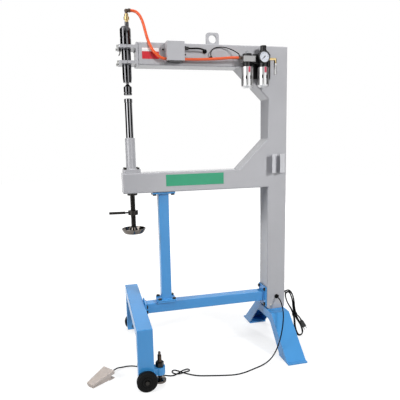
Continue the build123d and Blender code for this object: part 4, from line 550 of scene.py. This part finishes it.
def thread(radius, depth, pitch, length, foot):
    """Screw thread on an upright rod: one pitch's flanks, spun up the rod and cut square at its ends."""
    turns = math.ceil(length / pitch) + 2
    flanks = [(radius - depth, -1), (radius, -0.65), (radius, -0.35), (radius - depth, 0)]
    shape = bmesh.new()
    verts = [shape.verts.new((reach * MM, 0, share * pitch * MM)) for reach, share in flanks]
    edges = [shape.edges.new(pair) for pair in zip(verts, verts[1:])]
    rise = pitch * MM / THREAD_STEPS
    spin(shape, verts + edges, math.tau * turns, THREAD_STEPS * turns, rise)
    bmesh.ops.remove_doubles(shape, verts=shape.verts, dist=0.01 * MM)
    for height, outward in ((0, -1), (length, 1)):
        bmesh.ops.bisect_plane(
            shape,
            geom=shape.verts[:] + shape.edges[:] + shape.faces[:],
            plane_co=(0, 0, height * MM),
            plane_no=(0, 0, outward),
            clear_outer=True,
        )
    bmesh.ops.translate(shape, verts=shape.verts, vec=foot)
    return closed(shape)


def coil_spring(radius, wire_radius, pitch, turns, foot):
    """Wire spring on an upright axis."""
    shape = bmesh.new()
    bmesh.ops.create_circle(shape, segments=10, radius=wire_radius * MM)
    upright = Matrix.Rotation(math.radians(90), 3, "X")
    bmesh.ops.rotate(shape, verts=shape.verts, cent=(0, 0, 0), matrix=upright)
    bmesh.ops.translate(shape, verts=shape.verts, vec=(radius * MM, 0, wire_radius * MM))
    wire = shape.verts[:] + shape.edges[:]
    rise = pitch * MM / SPRING_STEPS
    spin(shape, wire, math.tau * turns, round(SPRING_STEPS * turns), rise)
    bmesh.ops.translate(shape, verts=shape.verts, vec=foot)
    return closed(shape)


def weld_run(start, end):
    """Straight weld bead with the ripples of its passes."""
    run = end - start
    passes = 2 * max(2, round(run.length / WELD_RIPPLE))
    step = run.length / passes
    shape = bmesh.new()
    bmesh.ops.create_circle(shape, segments=10, radius=WELD_RADIUS)
    spin(shape, shape.verts[:] + shape.edges[:], angle=0, steps=passes, rise=step)
    waists = [vert for vert in shape.verts if round(vert.co.z / step) % 2]
    bmesh.ops.scale(shape, vec=(WELD_WAIST, WELD_WAIST, 1), verts=waists)
    point_along(shape, start, run)
    return closed(shape)


def weld_loop(*corners):
    """Weld beads from corner to corner and back to the first."""
    return [weld_run(start, end) for start, end in zip(corners, corners[1:] + corners[:1])]


# Lift screw, with a plain spigot above its thread
spigot_length = 12
screw_low, screw_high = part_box("anvil_screw")
screw_length = (screw_high.z - screw_low.z) / MM - spigot_length
screw_foot = Vector((axis_x, 0, screw_low.z))
screw_thread = thread(radius=12, depth=1.8, pitch=5, length=screw_length, foot=screw_foot)
spigot_outline = [(0, -1), (7, -1), (7, spigot_length - 1), (6, spigot_length), (0, spigot_length)]
spigot = turned(spigot_outline, screw_foot + Vector((0, 0, screw_length * MM)))
made("lift_screw", joined([screw_thread, spigot]), black_oxide, "screw", ["anvil_screw"])

# Levelling feet: a spun pad, and a stud with a turned-down end
pad_outline = [(0, 0), (26.4, 0), (27.5, 1.1), (27.5, 8.2), (26.2, 9.8), (14, 13.2), (11, 14), (0, 14)]
pad_height = pad_outline[-1][1]
stud_outline = [
    (0, 13), (7.9, 13), (7.9, 123.4), (7.2, 124), (5.2, 124), (5.2, 125.4),
    (6, 126.2), (6, 137.8), (4.8, 139), (0, 139),
]
for body, node in (("near_level", "level_foot_near"), ("far_level", "level_foot_far")):
    pad_foot = underside(node)
    stud_foot = pad_foot + Vector((0, 0, pad_height * MM))
    stud_thread = thread(radius=9, depth=1.1, pitch=2.5, length=110, foot=stud_foot)
    stud = joined([turned(stud_outline, pad_foot), stud_thread])
    made(f"{body}_stud", stud, brown_steel, body, [node])
    made(f"{body}_pad", turned(pad_outline, pad_foot), spun_steel, body, [node])

# Return spring under the pedal, which the tread presses down
spring_from_toe = 80 * MM
pedal_floor = Vector((0, 0, 3 * MM))
spring_foot = pedal_toe + pedal_along * spring_from_toe + pedal_floor
spring_shape = coil_spring(radius=6, wire_radius=0.8, pitch=3.6, turns=6.6, foot=spring_foot)
return_spring = made("pedal_return_spring", spring_shape, zinc_plate, STAND, ["pedal_spring"])
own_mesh(return_spring)

# Wheels: hub disc in the recess and a raised line round the tyre's wall
hub_outline = [(11.8, 0), (11.8, 2.6), (13.5, 3.2), (17, 2.2), (20.5, 2.2), (22.6, 1.4), (23.6, 0)]
wall_outline = [(33, -0.4), (33.6, 0.9), (35.4, 0.9), (36, -0.4)]
hub_recess = 4
for side, body, node in ((-1, "near_wheel", "wheel_near"), (1, "far_wheel", "wheel_far")):
    outward = Vector((0, side, 0))
    (left, front, foot), (right, back, top) = measured(node)
    outer_y = front if side < 0 else back
    hub_face = place((left + right) / 2, outer_y - side * hub_recess, (foot + top) / 2)
    made(f"{body}_hub", turned(hub_outline, hub_face, outward, ring=True), black_rubber, body)
    tyre_wall = hub_face + outward * hub_recess * MM
    made(f"{body}_wall_line", turned(wall_outline, tyre_wall, outward, ring=True), black_rubber, body)

# Air unit: filler cap, black inner bowls behind the slots, whose black is painted shade seen in the
# slots, and bowl latches
filler_cap = [
    (8.8, 0), (8.8, 12.6), (19.6, 12.6), (21.2, 11.6), (21.8, 10), (21.8, 2), (22.6, 0.6), (22.6, 0),
]
air_unit_y = -84
lubricator_x = 556
filler_cap_foot = place(lubricator_x, air_unit_y, 1460.02)
made("oil_filler_cap", turned(filler_cap, filler_cap_foot, ring=True), black_nylon)
bowl_wall, bowl_floor = 3.2, 4
inner_bowl_height, inner_bowl_bevel = 84, 6
latch_depth, latch_drop, latch_height, latch_edge = 4, 1, 25, 1.2
for name, latch_width, latch_proud in (("lubricator", 8, 2), ("filter", 10, 2.2)):
    (left, front, foot), (right, back, top) = measured(f"{name}_bowl")
    middle = (left + right) / 2
    inner_foot = place(middle, (front + back) / 2, foot + bowl_floor)
    radius = (right - left) / 2 - bowl_wall
    inner_bowl = [
        (0, 0),
        (radius - inner_bowl_bevel, 0),
        (radius, inner_bowl_bevel),
        (radius, inner_bowl_height),
        (0, inner_bowl_height),
    ]
    # The inner bowl is black so that the slots show painted shade
    made(f"{name}_inner_bowl", turned(inner_bowl, inner_foot), black_nylon)
    latch_top = top - latch_drop
    latch_low = place(middle - latch_width / 2, front - latch_proud, latch_top - latch_height)
    latch_high = place(middle + latch_width / 2, front + latch_depth, latch_top)
    made(f"{name}_latch", block(latch_low, latch_high, latch_edge), red_nylon)

# Gauge dial: ticks and plain figures
dial_centre = place(623.5, -129.05, 1452)
dial_start, dial_sweep = 225, 270
tick_gaps, gaps_per_figure = 25, 5
figures = tick_gaps // gaps_per_figure
long_tick, short_tick, tick_width, tick_thickness = 3.4, 1.8, 0.55, 0.2
tick_end_radius = 21.6
figure_radius = 15 * MM
dial_shapes = bmesh.new()
for tick in range(tick_gaps + 1):
    turn = Matrix.Rotation(math.radians(dial_sweep * tick / tick_gaps - dial_start), 4, "Y")
    length = short_tick if tick % gaps_per_figure else long_tick
    outwards = Matrix.Translation(((tick_end_radius - length / 2) * MM, 0, 0))
    sized = Matrix.Diagonal((length * MM, tick_thickness * MM, tick_width * MM, 1))
    placed = Matrix.Translation(dial_centre) @ turn @ outwards @ sized
    bmesh.ops.create_cube(dial_shapes, size=1, matrix=placed)
for figure in range(figures + 1):
    lettering = bpy.data.curves.new("dial_figure", "FONT")
    lettering.body = str(2 * figure)
    lettering.size = 4.6 * MM
    lettering.extrude = 0.05 * MM
    lettering.align_x = "CENTER"
    lettering.align_y = "CENTER"
    digits = drawn_mesh(lettering)
    heading = math.radians(dial_start - dial_sweep * figure / figures)
    spot = dial_centre + Vector((math.cos(heading), 0, math.sin(heading))) * figure_radius
    digits.transform(Matrix.Translation(spot) @ Matrix.Rotation(math.radians(90), 4, "X"))
    dial_shapes.from_mesh(digits)
    bpy.data.meshes.remove(digits)
made("gauge_marks", dial_shapes, black_nylon)

# Bare white strip along the top of the red plate
strip_low = place(66.3, -51.25, 1479.5)
strip_high = place(142.7, -50.8, 1494.7)
made("red_plate_strip", block(strip_low, strip_high, edge_mm=0.1), white_film)

# Welds, and the earth screw at the column's foot
lug_low, lug_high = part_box("lifting_lug")
grey_welds = weld_loop(
    Vector((lug_low.x, lug_low.y, lug_low.z)),
    Vector((lug_high.x, lug_low.y, lug_low.z)),
    Vector((lug_high.x, lug_high.y, lug_low.z)),
    Vector((lug_low.x, lug_high.y, lug_low.z)),
)
sleeve_fillet = [(22.5, 0), (27.5, 0), (26.6, 1.8), (25, 3.6), (23.6, 5), (22.5, 5)]
sleeve_flange_top = place(0, 0, 949.9)
grey_welds.append(turned(sleeve_fillet, sleeve_flange_top, ring=True))
made("grey_welds", joined(grey_welds), grey_coat)
tube_corners = ((-25, -25), (25, -25), (25, 25), (-25, 25))
post_x, post_flange_heights = 148, (294, 827)
beam_z, beam_flange_places = 253, (42, 672)
column_foot_z, column_foot_from, column_foot_to, column_half_depth = 184, 684, 776, 50
blue_welds = []
for height in post_flange_heights:
    blue_welds += weld_loop(*[place(post_x + x, y, height) for x, y in tube_corners])
for x in beam_flange_places:
    blue_welds += weld_loop(*[place(x, y, beam_z + z) for y, z in tube_corners])
for y in (-column_half_depth, column_half_depth):
    weld_start = place(column_foot_from, y, column_foot_z)
    weld_end = place(column_foot_to, y, column_foot_z)
    blue_welds.append(weld_run(weld_start, weld_end))
made("blue_welds", joined(blue_welds), blue_coat)
earth_screw = [(0, 0), (7, 0), (7, 1.2), (4.6, 1.3), (4.6, 2.8), (3.4, 4.2), (0, 4.4)]
earth_screw_seat = place(702, -49.9, 208)
made("earth_screw", turned(earth_screw, earth_screw_seat, Vector((0, -1, 0))), zinc_plate)


# Leads and hoses, on the CAD's routes


def round_curve(name, kind, points, radius, resolution):
    """Curve with a round section and closed ends, and its spline with these control points."""
    data = bpy.data.curves.new(name, "CURVE")
    data.dimensions = "3D"
    data.bevel_depth = radius
    data.bevel_resolution = resolution
    data.use_fill_caps = True
    spline = data.splines.new(kind)
    spline.points.add(len(points) - 1)
    for control, point in zip(spline.points, points):
        control.co = (*point, 1)
    return data, spline


def lead(name, points, diameter, material, nodes):
    """Round lead on a smooth spline whose control points are the route's own."""
    data, spline = round_curve(name, "NURBS", points, diameter / 2, resolution=5)
    spline.order_u = 3
    spline.use_endpoint_u = True
    spline.resolution_u = 10
    return keep(bpy.data.objects.new(name, data), material, STAND, nodes)


hose_diameter = 13 * MM
hose_a_route = [
    place(27, -4, 1664),
    place(41, -6, 1663),
    place(53.5, -10, 1657),
    place(64, -14.5, 1645.5),
    place(72.5, -20, 1629),
    place(78.5, -26, 1609),
    place(83, -32.5, 1587.5),
    place(87, -39.5, 1564),
    place(92, -46.5, 1539.5),
    place(98.5, -53.5, 1515),
    place(107, -60, 1492.5),
    place(119, -65.5, 1473.5),
    place(134.5, -69.5, 1458.5),
    place(149.5, -71.5, 1448),
    place(165, -72, 1444),
    place(178, -72, 1444),
]
hose_b_route = [
    place(248, -72, 1444),
    place(288, -72, 1444),
    place(332, -73.5, 1444.8),
    place(376, -76, 1446.2),
    place(416, -79, 1448.5),
    place(452, -82.5, 1451.5),
    place(482, -84, 1454),
    place(513, -84, 1454),
]
valve_cable_diameter = 8 * MM
valve_cable_route = [
    place(276, -72, 1492),
    place(296, -72, 1492),
    place(315, -73, 1493.2),
    place(332, -72, 1492.5),
    place(346, -69, 1489.5),
    place(356, -65, 1487),
    place(359, -60, 1485),
    place(359, -54, 1485),
]
sense_line_diameter = 4.5 * MM
sense_line_route = [
    place(388, -54, 1457),
    place(388, -60, 1457),
    place(386.5, -64, 1462),
    place(384.5, -64.5, 1469),
    place(385, -63, 1478),
    place(389, -61, 1487.5),
    place(397, -60, 1496),
    place(408, -59, 1501.5),
    place(422, -58.5, 1504.5),
    place(438, -59, 1505.5),
    place(454, -60, 1504.5),
    place(469, -62, 1501),
    place(483, -66, 1495),
    place(497, -71.5, 1487),
    place(508, -77.5, 1479),
    place(517, -84, 1469.7),
    place(517, -84, 1462.2),
]
pedal_cable_diameter = 6 * MM
gland_from_toe, gland_height, gland_run = 125, 12, 16
pedal_gland_end = pedal_toe + pedal_along * gland_from_toe * MM + Vector((0, 0, gland_height * MM))
pedal_cable_route = [
    place(732.5, -54, 254),
    place(732.5, -72, 254),
    place(736, -100, 239),
    place(727, -142, 206),
    place(709, -178, 169),
    place(687, -207, 128),
    place(664, -227, 88),
    place(640, -239, 50),
    place(609, -248, 19),
    place(566, -259, 3),
    place(511, -278, 3),
    place(459, -297, 3),
    place(409, -304, 3),
    place(351, -293, 3),
    place(293, -279, 3),
    place(248, -268, 3),
    place(220, -254, 3),
    place(200, -239, 3),
    place(183, -225, 3),
    place(167, -209, 3),
    place(154, -195, 3),
    place(142, -188, 3),
    place(132, -194, 3),
    place(130, -206, 3),
    place(137, -218, 3),
    place(151, -227, 3.5),
    place(168, -231, 6),
    place(187, -229.5, 10),
    place(203, -223, 7),
    place(213, -212.5, 3.5),
    place(213, -201, 3),
    place(204, -196, 3.5),
    place(192, -203, 5),
    place(180, -213.5, 10),
    place(166, -224, 10.4),
    place(150, -233, 9),
    place(132, -236, 4),
    place(112, -231, 3),
    place(91, -220, 3),
    place(63, -199, 3),
    place(37, -172, 3),
    place(12, -143, 3),
    place(-14, -116, 3),
    place(-43, -98, 3),
    place(-72, -95, 3.5),
    place(-99, -101, 5),
    place(-119, -108, 9),
    pedal_gland_end + pedal_along * gland_run * MM,
    pedal_gland_end,
]
hose_a = lead("air_hose_upper", hose_a_route, hose_diameter, orange_hose, ["hose_a"])
hose_b = lead("air_hose_lower", hose_b_route, hose_diameter, orange_hose, ["hose_b"])
valve_cable = lead("valve_lead", valve_cable_route, valve_cable_diameter, black_sheath, ["valve_cable"])
sense_line = lead("sense_tube", sense_line_route, sense_line_diameter, black_sheath, ["sense_line"])
pedal_cable = lead("pedal_lead", pedal_cable_route, pedal_cable_diameter, black_sheath, ["pedal_cable"])

# Mains lead: the hank's loops, as the CAD lays them
cord_diameter = 7 * MM
hank_upper = place(816, 0, 259)
hank_lower = place(889.5, -29, -0.9)
hank_middle = (hank_upper + hank_lower) / 2
hank_along = (hank_lower - hank_upper).normalized()
hank_side = Vector((-hank_along.z, 0, hank_along.x)).normalized()
hank_forward = hank_along.cross(hank_side)
hank_half_length = (hank_lower - hank_upper).length / 2
hank_half_width = 26.5 * MM
hank_half_waist = 13 * MM
hank_step = 11 * MM
hank_layer_gap = 7.8 * MM
hank_spiral_end = 2.5
lobe_from_tip = 32 * MM
eighths = 8
hank_stations = 19


def hank_station(index):
    """Place and heading of the lead at each eighth of a turn, starting at the upper tip."""
    turn = index / eighths
    # The lead spirals in for a turn, keeps on for half a turn and spirals out again
    inset = hank_step * min(turn, 1, hank_spiral_end - turn)
    # It climbs to the second layer along a run in that half turn
    climb = min(max((turn - 1 - 1 / eighths) * eighths / 2, 0), 1)
    lobe = hank_half_length - inset - lobe_from_tip
    width = hank_half_width - inset
    along, side, heading = [
        (inset - hank_half_length, 0, hank_side),
        (-lobe, width, hank_along),
        (0, hank_half_waist - inset, hank_along),
        (lobe, width, hank_along),
        (hank_half_length - inset, 0, -hank_side),
        (lobe, -width, -hank_along),
        (0, inset - hank_half_waist, -hank_along),
        (-lobe, -width, -hank_along),
    ][index % eighths]
    depth = hank_layer_gap * climb
    return hank_middle + hank_along * along + hank_side * side + hank_forward * depth, heading


def bend_corners(start, start_heading, end, end_heading):
    """Corners of the two bends that lead from one place and heading to the next."""
    chord = end - start
    both = start_heading + end_heading
    spread = 2 * (1 - start_heading.dot(end_heading))
    same_heading = spread < 1e-6
    if same_heading:
        arm = chord.dot(chord) / (4 * chord.dot(end_heading))
    else:
        arm = (math.sqrt(chord.dot(both) ** 2 + spread * chord.dot(chord)) - chord.dot(both)) / spread
    return [start + start_heading * arm, end - end_heading * arm]


plug_lean = math.radians(10)
plug_heading = hank_along * math.cos(plug_lean) + hank_side * math.sin(plug_lean)
plug_along, plug_side, plug_forward = 36, 20.5, 20
plug_offset = hank_along * plug_along + hank_side * plug_side + hank_forward * plug_forward
plug_back = hank_middle + plug_offset * MM
cord_start = place(784, 0, 252)
cord_stations = [(cord_start + Vector((cord_diameter, 0, 0)), Vector((1, 0, 0)))]
cord_stations += [hank_station(index) for index in range(hank_stations)]
cord_stations += [(plug_back - plug_heading * cord_diameter, plug_heading)]
power_cord_route = [cord_start]
for (start, heading), (end, end_heading) in zip(cord_stations, cord_stations[1:]):
    power_cord_route += bend_corners(start, heading, end, end_heading)
power_cord_route.append(plug_back)
power_cord = lead("mains_lead", power_cord_route, cord_diameter, black_sheath, ["power_cord"])

# Strap round the hank's waist, centred on its strands
strap_middle = hank_middle + hank_side * hank_step / 4 + hank_forward * hank_layer_gap / 2
strap_half_width, strap_half_depth, strap_corner, strap_height = 12.4, 8.8, 6, 12
strap_shape = bmesh.new()
bmesh.ops.create_grid(strap_shape, x_segments=1, y_segments=1, size=1)
strap_half_size = (strap_half_width * MM, strap_half_depth * MM, 1)
bmesh.ops.scale(strap_shape, vec=strap_half_size, verts=strap_shape.verts)
rounded(strap_shape, strap_shape.verts, strap_corner * MM, segments=6, affect="VERTICES", clamp=False)
bmesh.ops.delete(strap_shape, geom=strap_shape.faces[:], context="FACES_ONLY")
strap_edge = bmesh.ops.extrude_edge_only(strap_shape, edges=strap_shape.edges)["geom"]
strap_rim = [part for part in strap_edge if isinstance(part, bmesh.types.BMVert)]
bmesh.ops.translate(strap_shape, verts=strap_rim, vec=(0, 0, strap_height * MM))
bmesh.ops.recalc_face_normals(strap_shape, faces=strap_shape.faces)
strap_turn = Matrix((hank_side, hank_forward, hank_side.cross(hank_forward))).transposed().to_4x4()
bmesh.ops.transform(
    strap_shape, matrix=Matrix.Translation(strap_middle) @ strap_turn, verts=strap_shape.verts
)
hank_strap = made("hank_strap", strap_shape, black_rubber)
strap_wall = hank_strap.modifiers.new("strap_thickness", "SOLIDIFY")
strap_wall.thickness = 1.2 * MM
strap_wall.offset = 1.0


def spline_points(cord):
    """Points of a lead's own spline, read from its curve with the thickness taken off."""
    bare = cord.data.copy()
    bare.bevel_depth = 0
    line = drawn_mesh(bare)
    points = [vert.co.copy() for vert in line.vertices]
    bpy.data.meshes.remove(line)
    return points


# Tapered strain relief on the mains lead, along the lead's own curve
relief_length = 26 * MM
relief_radius = 6.6 * MM
relief_taper = 0.38
cord_points = spline_points(power_cord)
relief_points = [point for point in cord_points if (point - cord_start).length < relief_length]
relief_line, relief_run = round_curve(
    "strain_relief_line", "POLY", relief_points, relief_radius, resolution=6
)
for control, point in zip(relief_run.points, relief_points):
    control.radius = 1 - relief_taper * (point - cord_start).length / relief_length
relief_mesh = drawn_mesh(relief_line)
strain_relief = keep(bpy.data.objects.new("strain_relief", relief_mesh), black_rubber, STAND)


# Studio: pale floor, soft boxes and the camera of the photograph


def stage_mesh(name, shape):
    """Stage object from a bmesh."""
    item = bpy.data.objects.new(name, mesh_of(name, shape))
    scene.collection.objects.link(item)
    return item


def seen_ray(tree):
    """1 for what the camera, a reflection or clear plastic shows, and 0 for light on a surface."""
    path = add(tree, "ShaderNodeLightPath")
    either = combined(tree, "MAXIMUM", path.outputs["Is Camera Ray"], path.outputs["Is Glossy Ray"])
    return combined(tree, "MAXIMUM", either, path.outputs["Is Transmission Ray"])


# White paper floor: it keeps the machine's shadow and fades to plain white further out
floor_radius = 12
fade_start, fade_end = 0.4, 2.2
floor_shape = bmesh.new()
bmesh.ops.create_circle(floor_shape, cap_ends=True, segments=96, radius=floor_radius)
floor = stage_mesh("studio_floor", floor_shape)
floor_paper, floor_tree, floor_shader, floor_at = finish(
    "white_paper_floor",
    "",
    {"Base Color": linear("#A4A4A4"), "Roughness": 0.9, "Specular IOR Level": 0.0},
)
floor.data.materials.append(floor_paper)
floor_distance = add(floor_tree, "ShaderNodeVectorMath", {"operation": "LENGTH"}, {0: floor_at})
floor_glow = add(
    floor_tree,
    "ShaderNodeMapRange",
    {"interpolation_type": "SMOOTHSTEP"},
    {
        "Value": floor_distance.outputs["Value"],
        "From Min": fade_start,
        "From Max": fade_end,
        "To Min": 0.72,
        "To Max": 1.0,
    },
)
floor_strength = combined(floor_tree, "MULTIPLY", seen_ray(floor_tree), floor_glow.outputs["Result"])
floor_shader.inputs["Emission Color"].default_value = (1, 1, 1, 1)
floor_tree.links.new(floor_strength, floor_shader.inputs["Emission Strength"])

# White all round for the camera and for reflections, and a dim fill for light
world = bpy.data.worlds.new("studio")
scene.world = world
world.use_nodes = True
sky = world.node_tree
sky.nodes.clear()
fill = add(sky, "ShaderNodeBackground", inputs={"Color": linear("#F6F7FA"), "Strength": 0.18})
white = add(sky, "ShaderNodeBackground", inputs={"Color": (1, 1, 1, 1), "Strength": 1.0})
surround = add(
    sky,
    "ShaderNodeMixShader",
    inputs={0: seen_ray(sky), 1: fill.outputs[0], 2: white.outputs[0]},
)
add(sky, "ShaderNodeOutputWorld", inputs={"Surface": surround.outputs[0]})

# Walls that only reflections show: a dark drape most of the way round, and a lit white panel on each
# side of the camera, as metal in a studio mirrors them


def bent_wall(name, start, end, radius, high, material):
    """Upright wall bent round the machine. Azimuth 0 is in front, and positive is to the left."""
    below_floor = -0.3
    shape = bmesh.new()
    foot = shape.verts.new((0, -radius, below_floor))
    head = shape.verts.new((0, -radius, high))
    upright = shape.edges.new((foot, head))
    turn = Matrix.Rotation(-math.radians(start), 3, "Z")
    bmesh.ops.rotate(shape, verts=shape.verts, cent=(0, 0, 0), matrix=turn)
    spin(shape, [foot, head, upright], math.radians(start - end), steps=48)
    wall = stage_mesh(name, shape)
    wall.data.materials.append(material)
    wall.visible_camera = False
    wall.visible_diffuse = False
    wall.visible_transmission = False
    wall.visible_shadow = False


dull_black = {"Base Color": linear("#0C0C0C"), "Roughness": 1.0, "Specular IOR Level": 0.0}
black_drape, _, _, _ = finish("black_drape", "", dull_black)
glow = {"Base Color": (0, 0, 0, 1), "Emission Color": (1, 1, 1, 1), "Specular IOR Level": 0.0}
bright_panel, _, _, _ = finish("bright_panel", "", {**glow, "Emission Strength": 4.5})
lit_panel, _, _, _ = finish("lit_panel", "", {**glow, "Emission Strength": 2.0})
bent_wall("studio_drape", start=-105, end=165, radius=3.4, high=3.0, material=black_drape)
bent_wall("left_panel", start=48, end=76, radius=3.2, high=6.5, material=bright_panel)
bent_wall("right_panel", start=-40, end=-4, radius=3.2, high=2.7, material=lit_panel)

# The lamps point at the middle of the machine
subject = Vector((0, 0, 0.85))


def soft_box(name, azimuth, height, distance, width, tall, power):
    """Large area lamp facing the machine. Azimuth 0 is in front, and positive is to the left."""
    turn = math.radians(azimuth)
    lamp = bpy.data.lights.new(name, "AREA")
    lamp.shape = "RECTANGLE"
    lamp.size = width
    lamp.size_y = tall
    lamp.energy = power
    holder = bpy.data.objects.new(name, lamp)
    scene.collection.objects.link(holder)
    holder.location = (-math.sin(turn) * distance, -math.cos(turn) * distance, height)
    holder.rotation_euler = (subject - holder.location).to_track_quat("-Z", "Y").to_euler()
    holder.visible_glossy = False


soft_box("left_soft_box", azimuth=80, height=2.1, distance=3.0, width=0.9, tall=1.6, power=69)
soft_box("right_soft_box", azimuth=-30, height=4.9, distance=9.0, width=1.3, tall=1.9, power=610)
soft_box("top_soft_box", azimuth=0, height=3.8, distance=0.3, width=2.0, tall=2.0, power=44)
soft_box("back_soft_box", azimuth=-155, height=2.4, distance=5.0, width=1.6, tall=2.0, power=120)

# The photograph's camera, fitted to the machine's edges
camera_spot = place(-180.01, -1939.6, 1050.81)
camera_yaw = math.radians(-12.912)
camera_pitch = math.radians(8.413)
camera_roll = math.radians(-1.394)
ahead = Vector(
    (
        -math.sin(camera_yaw) * math.cos(camera_pitch),
        math.cos(camera_yaw) * math.cos(camera_pitch),
        -math.sin(camera_pitch),
    )
)
level = Vector((math.cos(camera_yaw), math.sin(camera_yaw), 0))
upward = level.cross(ahead)
right = level * math.cos(camera_roll) + upward * math.sin(camera_roll)
upward = upward * math.cos(camera_roll) - level * math.sin(camera_roll)
lens = bpy.data.cameras.new("photo_camera")
lens.sensor_width = 36
lens.lens = 36.296
lens.shift_x = 0.0344
lens.shift_y = 0.0152
camera = bpy.data.objects.new("photo_camera", lens)
scene.collection.objects.link(camera)
camera_turn = Matrix((right, upward, -ahead)).transposed().to_4x4()
camera.matrix_world = Matrix.Translation(camera_spot) @ camera_turn
scene.camera = camera
